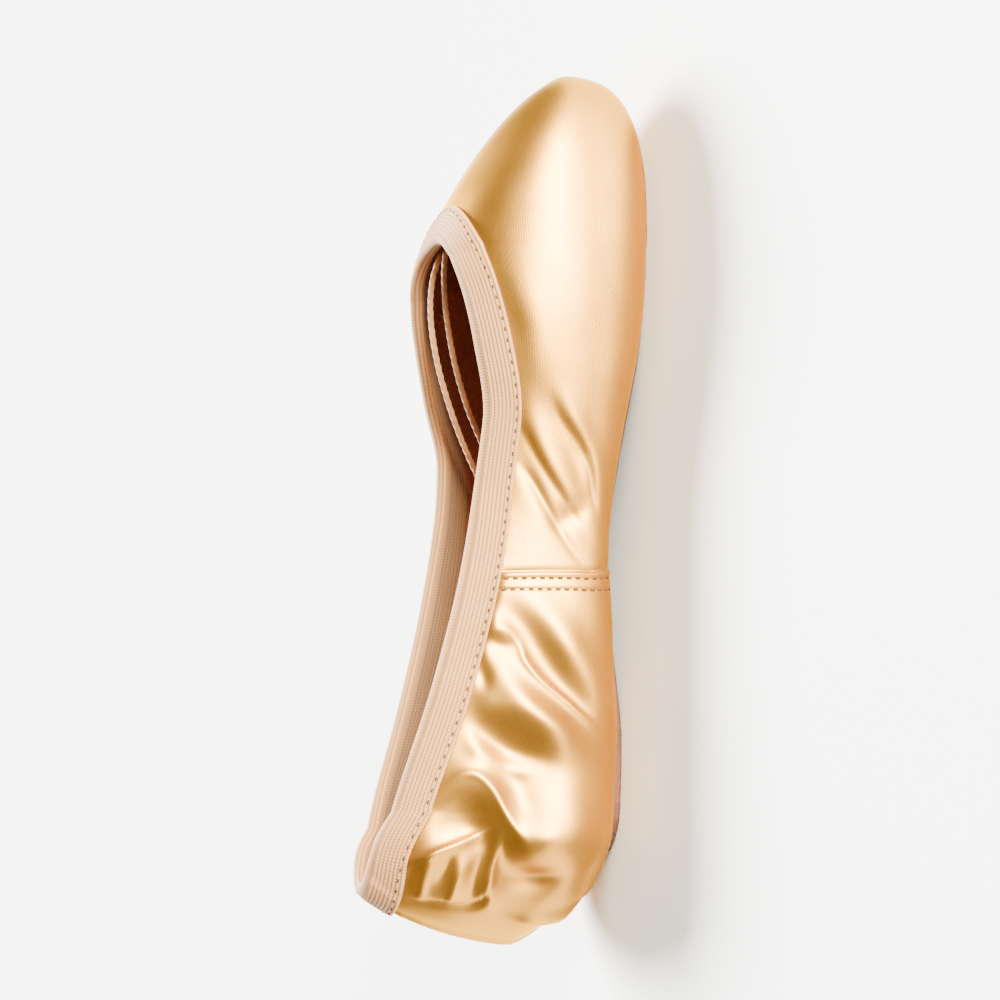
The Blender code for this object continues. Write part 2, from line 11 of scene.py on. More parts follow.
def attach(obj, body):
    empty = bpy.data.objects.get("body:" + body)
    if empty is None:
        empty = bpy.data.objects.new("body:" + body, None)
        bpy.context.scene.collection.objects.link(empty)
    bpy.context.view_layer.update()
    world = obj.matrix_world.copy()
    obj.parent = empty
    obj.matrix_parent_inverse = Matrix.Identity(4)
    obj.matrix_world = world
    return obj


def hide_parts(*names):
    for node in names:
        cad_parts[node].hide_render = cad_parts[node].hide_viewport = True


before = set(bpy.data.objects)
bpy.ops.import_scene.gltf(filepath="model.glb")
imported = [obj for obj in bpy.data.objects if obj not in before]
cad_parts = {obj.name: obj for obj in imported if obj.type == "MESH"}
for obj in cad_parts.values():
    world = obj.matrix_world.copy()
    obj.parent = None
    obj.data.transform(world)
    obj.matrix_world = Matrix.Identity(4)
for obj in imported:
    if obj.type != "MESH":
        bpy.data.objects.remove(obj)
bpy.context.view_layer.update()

bl_info = {
    "name": "Satin pointe shoe",
    "version": (1, 0, 0),
    "blender": (4, 5, 0),
    "location": "3D View > Sidebar > Pointe shoe",
    "description": "Makes a satin pointe shoe's pieces, their finishes and a pale studio",
    "category": "Object",
}

# Driving sizes of the last, as in the solid model
LENGTH = 0.240
BALL_WIDTH = 0.074
WAIST_WIDTH = 0.051
HEEL_WIDTH = 0.052
THROAT_HEIGHT = 0.0585
TOE_HEIGHT = 0.034
SIDE_HEIGHT = 0.0432
HEEL_HEIGHT = 0.0625
HEEL_ROUND = 0.0145
ARCH_RISE = 0.0052
TOE_SPRING = 0.0032

# Collar and wall, as in the solid model
COLLAR_WIDTH = 0.037
INSTEP_WIDTH = 0.047
THROAT_RUN = 0.011
HEEL_RUN = 0.019
QUARTER_WALL = 0.0018
BOX_WALL = 0.0030
BOX_BLEND = 0.022

# Side seams and back seam, as in the solid model
SEAM_STATION = 0.385
SEAM_LEAN = 0.0093
SEAM_STEP = 0.0008
SEAM_FADE = 0.018
BACK_RIDGE = 0.0006
BACK_RIDGE_WIDTH = 0.0034

# Outsole, insole and binding, as in the solid model
SOLE_THICKNESS = 0.0022
SOLE_WIDTH = 0.035
SOLE_WAIST = 0.020
SOLE_HEEL = 0.025
LASTING_MARGIN = 0.0070
INSOLE_THICKNESS = 0.0012
INSOLE_MARGIN = 0.0110
BINDING_DEPTH = 0.0085
BINDING_THICKNESS = 0.0007
BINDING_HEADROOM = 0.0004
GAP = 0.0003

# Stations and powers of the plan, as in the solid model
HEEL_PIVOT = 0.117
COLLAR_WAIST = 0.458
INSTEP = 0.625
BALL_PIVOT = 0.733
SOLE_FRONT = 0.884
HEEL_PLAN_POWER = 2.2
TOE_PLAN_POWER = 2.6
COLLAR_HEEL_POWER = 2.2
THROAT_POWER = 2.4

# Lengths of the cloth round heel and toe, from the side to the middle
HEEL_ARC = 0.0425
TOE_ARC = 0.0850

# Details that only the cloth has: stitched rows behind the seam's edge, twist of the back seam, pleats beside
# the sole, small waves, the tape's overlap, ribs and rolled edge, stitches as length, width and height, and
# the cord's twist
SEAM_ROWS = (0.0018, 0.0049)
SEAM_PIT = 0.00030
SEAM_END = 0.060
BACK_TWIST = 0.0026
PLEAT_DEPTH = 0.0008
PLEAT_PITCH = 0.0034
WAVE_LENGTHS = (0.009, 0.032)
WAVE_STEEPNESS = 0.0028
TAPE_OVERLAP = 0.009
TAPE_STEP = 0.0005
TAPE_RIB = 0.00014
TAPE_ROLL = 0.0003
TAPE_ROW_INSET = 0.0010
SEAM_STITCH = (0.0015, 0.00095, 0.00060)
TAPE_STITCH = (0.0012, 0.00052, 0.00040)
STITCH_STAND = 0.0001
CORD_TWIST = 0.0075
CORD_STRANDS = 3
TINY = 1e-4
MM = 0.001

# Fineness of the meshes: rows down the satin, the lining and each leg of the tape
SATIN_ROWS = 86
LINING_ROWS = 28
TAPE_ROWS = 50

# The camera's lens in millimetres, place in metres and degrees, and turn off its target in radians
LENS = 88.0
CAMERA_TARGET = (0.0, 0.0, 0.030)
CAMERA_DISTANCE = 0.650
CAMERA_VIEW = (-20, 17)
CAMERA_ROLL = -2.9
CAMERA_TURN = (-0.0041, 0.0041)

# The lights: azimuth and elevation in degrees, size in metres or degrees, strength and colour
KEY_VIEW = (31, 9)
KEY_DISTANCE = 1.6
KEY_SIZE = (1.4, 0.5)
KEY_COLOR = (1.0, 0.98, 0.80)
DAYLIGHT_VIEW = (158, 38)
DAYLIGHT_ANGLE = 28
DAYLIGHT_STRENGTH = 31.0
STUDIO_COLOR = (1.0, 0.99, 0.975, 1)
STUDIO_STRENGTH = 0.45
FLOOR_RINGS = (0.0, 0.3, 1.0, 3.0, 9.0)


def between(low, high, share):
    """The value that lies a share of the way from low to high."""
    return low + (high - low) * share


# Tables of the last: a station along the length, then the value there
WIDTHS = (
    (0.000, HEEL_WIDTH),
    (0.117, HEEL_WIDTH),
    (0.250, between(WAIST_WIDTH, HEEL_WIDTH, 0.90)),
    (0.375, WAIST_WIDTH),
    (0.500, between(WAIST_WIDTH, BALL_WIDTH, 0.26)),
    (0.617, between(WAIST_WIDTH, BALL_WIDTH, 0.74)),
    (0.733, BALL_WIDTH),
    (1.000, BALL_WIDTH),
)
BELLIES = (
    (0.000, 0.455 * THROAT_HEIGHT),
    (0.117, 0.370 * THROAT_HEIGHT),
    (0.250, 0.335 * THROAT_HEIGHT),
    (0.375, 0.320 * THROAT_HEIGHT),
    (0.500, 0.330 * THROAT_HEIGHT),
    (0.617, 0.350 * THROAT_HEIGHT),
    (0.733, 0.370 * THROAT_HEIGHT),
    (0.875, 0.387 * THROAT_HEIGHT),
    (1.000, 0.370 * THROAT_HEIGHT),
)
VAMP = (
    (0.733, THROAT_HEIGHT),
    (0.775, between(TOE_HEIGHT, THROAT_HEIGHT, 0.92)),
    (0.833, between(TOE_HEIGHT, THROAT_HEIGHT, 0.75)),
    (0.896, between(TOE_HEIGHT, THROAT_HEIGHT, 0.53)),
    (0.950, between(TOE_HEIGHT, THROAT_HEIGHT, 0.29)),
    (1.000, TOE_HEIGHT),
)
UNDERSIDE = (
    (0.000, 1.00 * HEEL_ROUND),
    (0.050, 0.30 * HEEL_ROUND),
    (0.092, 0.06 * HEEL_ROUND),
    (0.133, 0.00),
    (0.208, 0.00),
    (0.333, 0.62 * ARCH_RISE),
    (0.438, 1.00 * ARCH_RISE),
    (0.542, 0.70 * ARCH_RISE),
    (0.667, 0.08 * ARCH_RISE),
    (0.733, 0.00),
    (0.875, 0.00),
    (0.938, 0.25 * TOE_SPRING),
    (1.000, 1.00 * TOE_SPRING),
)
COLLAR_HEIGHTS = (
    (0.000, HEEL_HEIGHT),
    (0.117, between(SIDE_HEIGHT, HEEL_HEIGHT, 0.79)),
    (0.250, between(SIDE_HEIGHT, HEEL_HEIGHT, 0.41)),
    (0.375, between(SIDE_HEIGHT, HEEL_HEIGHT, 0.14)),
    (0.458, between(SIDE_HEIGHT, HEEL_HEIGHT, 0.04)),
    (0.542, SIDE_HEIGHT),
    (0.625, between(SIDE_HEIGHT, THROAT_HEIGHT, 0.28)),
    (0.683, between(SIDE_HEIGHT, THROAT_HEIGHT, 0.52)),
)
SOLE_WIDTHS = (
    (0.150, SOLE_HEEL),
    (0.250, between(SOLE_WAIST, SOLE_HEEL, 0.70)),
    (0.420, SOLE_WAIST),
    (0.600, between(SOLE_WAIST, SOLE_WIDTH, 0.62)),
    (0.733, SOLE_WIDTH),
    (0.800, SOLE_WIDTH),
)
ROUND_ABOVE = ((0.00, 2.0), (1.00, 1.8), (1.35, 1.7), (1.70, 1.9), (2.00, 2.2), (2.50, 2.6), (3.00, 3.2))
ROUND_BELOW = ((0.00, 2.6), (1.00, 3.4), (1.35, 3.6), (1.70, 3.8), (2.00, 4.0), (2.50, 3.8), (3.00, 3.6))

# The drawstring's ends, on the solid model's routes
CORD_ROUTES = {
    "drawstring_end_upper": (
        (0.0660, 0.0030, 0.0523), (0.0579, 0.0038, 0.0539), (0.0497, 0.0046, 0.0538),
        (0.0416, 0.0055, 0.0523), (0.0337, 0.0063, 0.0500), (0.0260, 0.0069, 0.0471),
        (0.0184, 0.0075, 0.0437), (0.0111, 0.0080, 0.0399), (0.0039, 0.0084, 0.0357),
        (-0.0031, 0.0087, 0.0313), (-0.0100, 0.0090, 0.0267), (-0.0169, 0.0093, 0.0221),
        (-0.0238, 0.0095, 0.0175), (-0.0310, 0.0097, 0.0134), (-0.0388, 0.0098, 0.0107),
        (-0.0470, 0.0100, 0.0096),
    ),
    "drawstring_end_lower": (
        (0.0655, -0.0010, 0.0522), (0.0580, 0.0005, 0.0517), (0.0504, 0.0017, 0.0505),
        (0.0429, 0.0025, 0.0488), (0.0355, 0.0032, 0.0467), (0.0282, 0.0038, 0.0441),
        (0.0212, 0.0044, 0.0410), (0.0144, 0.0048, 0.0374), (0.0077, 0.0051, 0.0335),
        (0.0012, 0.0052, 0.0293), (-0.0051, 0.0052, 0.0249), (-0.0114, 0.0052, 0.0204),
        (-0.0179, 0.0051, 0.0162), (-0.0249, 0.0049, 0.0129), (-0.0323, 0.0044, 0.0110),
        (-0.0400, 0.0038, 0.0102),
    ),
}
CORD_NODES = {"drawstring_end_upper": "drawstring_upper", "drawstring_end_lower": "drawstring_lower"}

# Folds of the satin: depth out of the wall and half width in millimetres, kind and path. A path's points
# are millimetres along the shoe, running on round heel and toe, and above the floor. A soft fold is round,
# and a crisp one has a sharp line. A ledge is a crest that drops to a trough: seen from outside, the crest
# is on the left of its path, or on the right where the depth is negative.
Fold = namedtuple("Fold", "depth width kind path")
NEAR_FOLDS = (
    # Quarter, from the side seam back: two ledges that run down to the sole, and the pucker under the tape
    Fold(2.0, 4.2, "ledge",
         ((-38, 41), (-39, 37), (-41, 32.5), (-44, 29), (-50, 24.5), (-58, 18.4), (-66, 11), (-72, 4))),
    Fold(1.1, 1.9, "crisp",
         ((-43, 38), (-48.7, 33.2), (-53, 31.6), (-57.5, 27.7), (-62.1, 21.4), (-67, 14.5), (-71, 7))),
    Fold(1.7, 2.4, "ledge", ((-44, 46), (-46, 42), (-47.4, 38), (-48.6, 33))),
    Fold(1.0, 3.4, "soft", ((-50, 42), (-55, 39), (-60, 35), (-66, 29), (-71, 22), (-76, 14))),
    Fold(-1.2, 1.9, "soft", ((-49, 44), (-56, 42.4), (-62, 40))),
    Fold(3.8, 5.2, "ledge", ((-66, 48), (-67.5, 42), (-69.5, 37), (-72.3, 30.5), (-77, 23), (-79, 15))),
    Fold(1.2, 2.6, "soft", ((-68, 46), (-75, 43), (-79, 37.5), (-80.5, 31), (-80, 22))),
    Fold(-2.0, 4.4, "soft", ((-76, 41), (-81, 35.5), (-88, 32), (-94, 29.5), (-99, 26))),
    Fold(1.8, 7.0, "soft", ((-76, 25), (-83, 21), (-90, 18), (-96, 15))),
    # Heel: the great ledge from the tape round to the sole, its pockets, the pinch and the gathers
    Fold(4.6, 5.4, "ledge", ((-94, 57), (-91, 49), (-89, 43), (-92, 38.5), (-97.5, 34.5), (-103, 29))),
    Fold(5.4, 6.0, "ledge", ((-97, 38), (-102, 32), (-104.5, 26), (-102, 18), (-94, 8))),
    Fold(3.0, 9.0, "ledge", ((-86, 17), (-94, 18), (-102, 20), (-110, 22), (-118, 24), (-126, 26))),
    Fold(1.0, 2.4, "crisp",
         ((-88, 51), (-83.5, 46), (-82.8, 42), (-86.2, 38), (-92, 35), (-97, 32), (-101, 28), (-99, 22))),
    Fold(1.9, 1.7, "crisp", ((-117, 59), (-107, 50.5), (-102, 45), (-94, 36))),
    Fold(1.6, 2.6, "crisp", ((-94, 35.8), (-104, 36.5), (-111, 36.3), (-121, 34.5))),
    Fold(-0.9, 3.4, "soft", ((-111, 34), (-109.5, 28), (-108, 22), (-105, 15))),
    Fold(-1.5, 2.2, "soft", ((-103, 39), (-110, 40.5), (-121, 39.5))),
    Fold(1.0, 1.6, "crisp", ((-106, 42.5), (-112, 44), (-122, 44.5))),
    Fold(-1.0, 1.5, "soft", ((-105, 46.5), (-110, 47), (-117, 48.5))),
    Fold(1.4, 1.9, "crisp", ((-105, 49), (-113, 51.5), (-125, 51))),
    Fold(-0.8, 1.4, "soft", ((-111, 53), (-116, 55), (-124, 55))),
    Fold(-1.0, 1.3, "crisp", ((-106, 34), (-114, 35.5), (-119, 39), (-122, 48), (-127, 57))),
    Fold(2.4, 2.0, "soft",
         ((-86, 7), (-94, 8.5), (-104.6, 9.5), (-112, 12.4), (-118.5, 16.3), (-120, 24.5), (-119, 33))),
    # Vamp wing
    Fold(0.5, 3.0, "ledge", ((38, 47), (26, 44.5), (14, 39.5), (4, 34), (-4.5, 28.7), (-13, 22), (-20, 14))),
    Fold(-0.6, 1.7, "crisp", ((24, 43.5), (13, 39.2), (4, 33.8), (-4.5, 28.2), (-13, 21.5), (-22, 14))),
    Fold(-0.7, 1.5, "crisp",
         ((6, 41), (-1, 36), (-7, 31.5), (-13, 27.7), (-19, 23.5), (-25, 18.5), (-30, 12))),
    Fold(0.6, 2.4, "ledge", ((20, 31), (9.5, 25), (3.2, 20.4), (-3, 18), (-13, 14.5))),
    Fold(-0.6, 1.4, "crisp", ((18, 31), (11, 27), (5, 21.5), (-1, 18), (-9, 16), (-16, 13))),
    Fold(-0.9, 2.8, "soft", ((-18, 27), (-14, 22), (-9, 17))),
    Fold(0.8, 5.0, "ledge", ((54, 49), (44.5, 45.4), (36.6, 41.4), (31, 39.5), (18, 37))),
)
FAR_FOLDS = (
    # The same ways of folding, each in its own place
    Fold(2.4, 4.4, "ledge", ((-35, 42), (-41, 35), (-48, 27), (-56, 19), (-66, 8))),
    Fold(-3.6, 5.0, "ledge", ((-65, 47), (-70, 38), (-74, 30), (-79, 17))),
    Fold(1.8, 5.6, "soft", ((-81, 46), (-85, 36), (-86, 27), (-84, 16))),
    Fold(-4.2, 5.4, "ledge", ((-90, 54), (-94, 44), (-100, 35), (-104, 26), (-101, 13))),
    Fold(-2.4, 9.0, "ledge", ((-88, 17), (-96, 18), (-104, 20), (-112, 22), (-120, 24), (-126, 26))),
    Fold(1.1, 2.4, "crisp", ((-84, 50), (-88, 41), (-94, 32), (-98, 21))),
    Fold(1.6, 1.7, "crisp", ((-116, 56), (-110, 46), (-104, 36))),
    Fold(-1.4, 2.4, "soft", ((-120, 43), (-112, 40), (-106, 32))),
    Fold(1.4, 2.4, "soft", ((-121, 37), (-113, 33), (-107, 24))),
    Fold(-1.1, 3.2, "ledge", ((20, 43), (6, 34), (-6, 25), (-16, 16))),
    Fold(-0.9, 2.6, "ledge", ((14, 27), (2, 20), (-10, 16))),
)


def station_x(station):
    """A share of the length, as a place along X."""
    return (station - 0.5) * LENGTH


HEEL_X = station_x(HEEL_PIVOT)
BALL_X = station_x(BALL_PIVOT)
SIDE_RUN = BALL_X - HEEL_X
COLLAR_REAR = HEEL_X - HEEL_RUN
COLLAR_FRONT = BALL_X + THROAT_RUN
SEAM_RIB = 1 + (station_x(SEAM_STATION) - HEEL_X) / SIDE_RUN


def smooth_curve(at, table):
    """A cubic curve through a table's values, level at both ends and never past its neighbours."""
    places, values = np.array(table, float).T
    rises = np.diff(values) / np.diff(places)
    slopes = np.zeros(len(places))
    before, after = np.diff(places)[:-1], np.diff(places)[1:]
    mean = (rises[:-1] * after + rises[1:] * before) / (before + after)
    limit = 3 * np.minimum(np.abs(rises[:-1]), np.abs(rises[1:]))
    same_way = rises[:-1] * rises[1:] > 0
    slopes[1:-1] = np.where(same_way, np.sign(mean) * np.minimum(np.abs(mean), limit), 0)
    at = np.clip(at, places[0], places[-1])
    left = np.clip(np.searchsorted(places, at) - 1, 0, len(places) - 2)
    span = places[left + 1] - places[left]
    t = (at - places[left]) / span
    level = values[left] * (1 + 2 * t) * (1 - t) ** 2 + values[left + 1] * t * t * (3 - 2 * t)
    return level + span * (slopes[left] * t * (1 - t) ** 2 - slopes[left + 1] * t * t * (1 - t))


def along(table, x):
    """A table of stations, read as a smooth curve at x."""
    return smooth_curve(np.asarray(x) / LENGTH + 0.5, table)


def ease(share):
    """A smooth step from 0 to 1."""
    share = np.clip(share, 0, 1)
    return share * share * (3 - 2 * share)


def superellipse(c, s, run, half, power):
    """Distance to a superellipse of the given half sizes, in the direction (c, s)."""
    return (np.abs(c / run) ** power + np.abs(s / half) ** power) ** (-1 / power)


def underside_level(x):
    """Height of the upper's underside on the middle line."""
    return SOLE_THICKNESS + GAP + along(UNDERSIDE, x)


def plan_rib(q):
    """Foot, direction and reach of rib q in plan: 0 to 1 fans round the heel, 2 to 3 fans round the toe."""
    foot = np.where(q < 1, HEEL_X, np.where(q < 2, between(HEEL_X, BALL_X, q - 1), BALL_X))
    angle = np.where(q < 1, np.pi - q * np.pi / 2, np.where(q < 2, np.pi / 2, (3 - q) * np.pi / 2))
    c, s = np.cos(angle), np.sin(angle)
    heel = superellipse(c, s, HEEL_X - station_x(0) - BACK_RIDGE, HEEL_WIDTH / 2, HEEL_PLAN_POWER)
    toe = superellipse(c, s, station_x(1) - BALL_X, BALL_WIDTH / 2, TOE_PLAN_POWER)
    return foot, c, s, np.where(q < 1, heel, np.where(q < 2, along(WIDTHS, foot) / 2, toe))


def closing(share, power):
    """A superellipse's half width, from 1 down to 0 as share goes from 0 to 1."""
    return (1 - np.clip(share, 0, 1) ** power) ** (1 / power)


def half_gape(x):
    """Half the collar's width: it closes to the heel and to the throat, and widens from waist to instep."""
    waist, instep = station_x(COLLAR_WAIST), station_x(INSTEP)
    heel = closing((waist - x) / (waist - COLLAR_REAR), COLLAR_HEEL_POWER)
    throat = closing((x - instep) / (COLLAR_FRONT - instep), THROAT_POWER)
    full = between(COLLAR_WIDTH, INSTEP_WIDTH, ease((x - waist) / (instep - waist)))
    return full / 2 * heel * throat


def rib_over(x, y):
    """The rib over a place in plan, and where that rib stands on the middle line."""
    foot = np.clip(x, HEEL_X, BALL_X)
    angle = np.arctan2(y, x - foot)
    side = between(1, 2, (foot - HEEL_X) / SIDE_RUN)
    rib = np.where(x > BALL_X, 3 - 2 * angle / np.pi, side)
    return np.where(x < HEEL_X, 2 * (1 - angle / np.pi), rib), foot


def collar_crossings(samples=6000):
    """Ribs that the collar crosses on its way from heel to throat, and its distance from their feet."""
    x = between(COLLAR_REAR, COLLAR_FRONT, (1 - np.cos(np.linspace(0, np.pi, samples))) / 2)
    y = half_gape(x)
    q, foot = rib_over(x, y)
    return q, np.hypot(x - foot, y)


CROSSED_RIBS, CROSSING_REACH = collar_crossings()


def collar_reach(q):
    """How far from the middle line the collar crosses rib q, the same on both sides of y = 0."""
    return np.interp(3 - np.abs(3 - np.abs(q)), CROSSED_RIBS, CROSSING_REACH)


def throat_side_height():
    """Height of the vamp where the collar's side passes the ball."""
    belly = along(BELLIES, BALL_X)
    share = 2 * half_gape(BALL_X) / BALL_WIDTH
    return belly + (THROAT_HEIGHT - belly) * closing(share, smooth_curve(2.0, ROUND_ABOVE))


COLLAR_LINE = COLLAR_HEIGHTS + (
    (BALL_PIVOT, float(throat_side_height())),
    (BALL_PIVOT + THROAT_RUN / LENGTH, float(along(VAMP, COLLAR_FRONT))),
)


def crown(q, x):
    """Height that rib q's upper arc aims for over the middle line, so that it passes through the collar."""
    foot, c, _, reach = plan_rib(q)
    widest = foot + c * reach
    belly = along(BELLIES, widest)
    power = smooth_curve(q, ROUND_ABOVE)
    fall = (1 - (collar_reach(q) / reach) ** power) ** (1 / power)
    return np.where(q <= 2, belly + (along(COLLAR_LINE, widest) - belly) / fall, along(VAMP, x))


def last(q, phi):
    """The last on rib q: superelliptic arcs over and under its widest line, with phi from the top down."""
    foot, c, s, reach = plan_rib(q)
    above = phi <= np.pi / 2
    power = np.where(above, smooth_curve(q, ROUND_ABOVE), smooth_curve(q, ROUND_BELOW))
    out = np.clip(np.sin(phi), 0, 1) ** (2 / power)
    up = np.abs(np.cos(phi)) ** (2 / power)
    x = foot + c * reach * out
    belly = along(BELLIES, foot + c * reach)
    z = np.where(above, belly + (crown(q, x) - belly) * up, belly - (belly - underside_level(x)) * up)
    return np.stack([x, s * reach * out, z], -1)


def unit(vectors):
    """Vectors made one long."""
    return vectors / np.maximum(np.linalg.norm(vectors, axis=-1, keepdims=True), 1e-12)


def last_normal(q, phi):
    """Unit normal of the last's surface: the cross product of its slopes across and down the ribs."""
    down_rib = last(q, phi + TINY) - last(q, phi - TINY)
    across_ribs = last(q + TINY, phi) - last(q - TINY, phi)
    return unit(np.cross(across_ribs, down_rib))


def collar_phi(q):
    """Where the collar crosses rib q."""
    share = collar_reach(q) / plan_rib(q)[3]
    return np.arcsin(share ** (smooth_curve(q, ROUND_ABOVE) / 2))


def opening_phi(q):
    """Where the upper ends on rib q under the foot."""
    foot, c, s, reach = plan_rib(q)
    half = np.maximum(along(SOLE_WIDTHS, foot) / 2 - LASTING_MARGIN, LASTING_MARGIN / 2)
    rear = superellipse(c, s, LASTING_MARGIN / 4, half, 2)
    front_run = station_x(SOLE_FRONT) - 1.4 * LASTING_MARGIN - BALL_X
    front = superellipse(c, s, front_run, half, 2)
    inner = np.where(q < 1, rear, np.where(q < 2, half, front))
    return np.pi - np.arcsin((inner / reach) ** (smooth_curve(q, ROUND_BELOW) / 2))


def leaning(q, share):
    """Ribs near the side seam lean, so that one rib follows it from collar to sole."""
    near = np.sin(np.pi * np.clip(q - 1, 0, 1)) ** 2
    return q + near * (share - 0.4) * SEAM_LEAN / SIDE_RUN


def girth(q):
    """Place along the shoe in metres: X at the side, running on round the heel and round the toe."""
    side = between(HEEL_X, BALL_X, q - 1)
    return np.where(q < 1, HEEL_X - (1 - q) * HEEL_ARC, np.where(q < 2, side, BALL_X + (q - 2) * TOE_ARC))


def rib_at(place):
    """The rib at a place along the shoe: girth turned round."""
    behind = 1 - (HEEL_X - place) / HEEL_ARC
    ahead = 2 + (place - BALL_X) / TOE_ARC
    return np.where(place < HEEL_X, behind, np.where(place < BALL_X, 1 + (place - HEEL_X) / SIDE_RUN, ahead))


def on_wall(side, place, height):
    """A point of the wall from its place along the shoe and its height: the rib's arc solved for phi."""
    q = np.clip(rib_at(place), 0, 3)
    foot, c, _, reach = plan_rib(q)
    x = foot + c * reach
    belly = along(BELLIES, x)
    top, bottom = crown(q, x), underside_level(x)
    up = np.where(height >= belly, (height - belly) / (top - belly), (belly - height) / (belly - bottom))
    power = np.where(height >= belly, smooth_curve(q, ROUND_ABOVE), smooth_curve(q, ROUND_BELOW))
    phi = np.arccos(np.clip(up, 0, 1) ** (power / 2))
    return last(q, np.where(height >= belly, phi, np.pi - phi)) * np.array([1, side, 1])


def down_ribs(q, share_of_run=None, runs=None):
    """Rib, phi, length run and share at wanted lengths down from the collar's edge.

    Each rib's length is summed over fine steps, and the wanted lengths are read back from the sums.
    """
    steps = np.linspace(0, 1, 160)
    start, end = collar_phi(leaning(q, 0.0)), opening_phi(leaning(q, 1.0))
    ribs = leaning(q[:, None], steps)
    phi = between(start[:, None], end[:, None], steps)
    points = last(ribs, phi)
    pieces = np.linalg.norm(np.diff(points, axis=1), axis=-1)
    length = np.concatenate([np.zeros((len(q), 1)), np.cumsum(pieces, axis=1)], axis=1)
    wanted = length[:, -1:] * share_of_run if runs is None else np.clip(runs, 0, length[:, -1:])
    order = np.arange(len(q))[:, None]
    share = np.interp((wanted + order).ravel(), (length + order).ravel(), np.tile(steps, len(q)))
    share = share.reshape(wanted.shape)
    return leaning(q[:, None], share), between(start[:, None], end[:, None], share), wanted, share


def run_along(line):
    """Length run at each point of a line of points."""
    return np.concatenate([[0], np.cumsum(np.linalg.norm(np.diff(line, axis=0), axis=1))])


def spline(route, step):
    """Even points on a Catmull-Rom curve through a route's points."""
    route = np.array(route, float)
    ends = np.vstack([2 * route[0] - route[1], route, 2 * route[-1] - route[-2]])
    t = np.linspace(0, 1, 20, endpoint=False)[:, None]
    dense = []
    for a, b, c, d in zip(ends, ends[1:], ends[2:], ends[3:]):
        bend = (2 * a - 5 * b + 4 * c - d) * t**2 + (3 * b - a - 3 * c + d) * t**3
        dense.append(b + 0.5 * ((c - a) * t + bend))
    dense = np.vstack(dense + [route[-1:]])
    run = run_along(dense)
    even = np.linspace(0, run[-1], max(round(run[-1] / step), 2) + 1)
    return np.stack([np.interp(even, run, dense[:, axis]) for axis in range(route.shape[1])], -1)


def fold_bells(kind, width, away, line):
    """Bells round each point of a fold's path, at the offsets away from it.

    A crisp fold adds a narrow bell to a wide one. A ledge's bells are tilted: each is multiplied by the
    distance from the path, with a sign for the side of it, so that a crest meets a trough.
    """
    apart = np.sum(away**2, axis=-1)
    if kind == "ledge":
        ahead = unit(np.gradient(line, axis=0))
        left = np.cross(unit(line * np.array([0.4, 1.0, 0.0])), ahead)
        tilt = np.sum(away * left, axis=-1) / width
        return tilt * np.exp(0.5 - apart / (2 * width**2)) / np.sqrt(2)
    bells = np.exp(-apart / width**2)
    if kind == "crisp":
        tip = 0.4 * width
        bells = 0.45 * bells + 0.55 * np.exp(-apart / tip**2) * width / tip
    return bells


def fold_heights(points, depth_scale):
    """Sum of the folds' heights: bells close together along each path, fading at its ends, are added up."""
    flat = points.reshape(-1, 3)
    total = np.zeros(len(flat))
    for side, fold in [(-1, fold) for fold in NEAR_FOLDS] + [(1, fold) for fold in FAR_FOLDS]:
        route = spline(fold.path, 0.8) * MM
        line = on_wall(side, route[:, 0], route[:, 1])
        width = fold.width * MM
        near = np.all((flat > line.min(0) - 3.5 * width) & (flat < line.max(0) + 3.5 * width), axis=1)
        if not near.any():
            continue
        place = np.arange(len(line))
        ends = ease(np.minimum(place, place[::-1]) / (0.36 * len(line)))
        step = np.linalg.norm(np.gradient(line, axis=0), axis=1)
        bells = fold_bells(fold.kind, width, flat[near][:, None] - line[None], line)
        total[near] += fold.depth * MM * (bells @ (ends * step)) / (width * np.sqrt(np.pi))
    return (total * depth_scale).reshape(points.shape[:-1])


def cloth_waves(points):
    """Small unevenness of the cloth: sines across seeded directions, the long ones the highest."""
    draw = np.random.default_rng(11)
    total = np.zeros(points.shape[:-1])
    for length in np.geomspace(*WAVE_LENGTHS, 12):
        direction = unit(draw.normal(size=3)) * 2 * np.pi / length
        total += length * WAVE_STEEPNESS * np.sin(points @ direction + draw.uniform(0, 2 * np.pi))
    return total


def off_sole(phi):
    """1 on the walls, falling to 0 before the outsole."""
    return 1 - ease((phi - 0.67 * np.pi) / (0.14 * np.pi))


def groove(distance, width):
    """A bell across a line, from the distance to it."""
    return np.exp(-((distance / width) ** 2))


def seams(q, phi, run):
    """Height of the quarter's lapped edge with its stitched rows, and of the centre back seam."""
    behind = (SEAM_RIB - q) * SIDE_RUN
    lap = ease(behind / (0.6 * MM) + 0.5) * (1 - ease((behind - SEAM_FADE) / SEAM_FADE))
    rows = sum(groove(behind - row, 0.45 * MM) for row in SEAM_ROWS)
    from_middle = np.abs(last(q, phi)[..., 1])
    ridge = np.where(q < 1, 1 - ease(2 * from_middle / BACK_RIDGE_WIDTH), 0)
    twist = 1 + 0.12 * np.sin(2 * np.pi * (run + 0.8 * from_middle) / BACK_TWIST)
    side_seam = SEAM_STEP * lap - SEAM_PIT * (rows + groove(behind + 0.5 * MM, 0.4 * MM))
    below_binding = ease((run - 0.8 * BINDING_DEPTH) / (0.4 * BINDING_DEPTH))
    return below_binding * off_sole(phi) * (side_seam + BACK_RIDGE * ridge * twist)


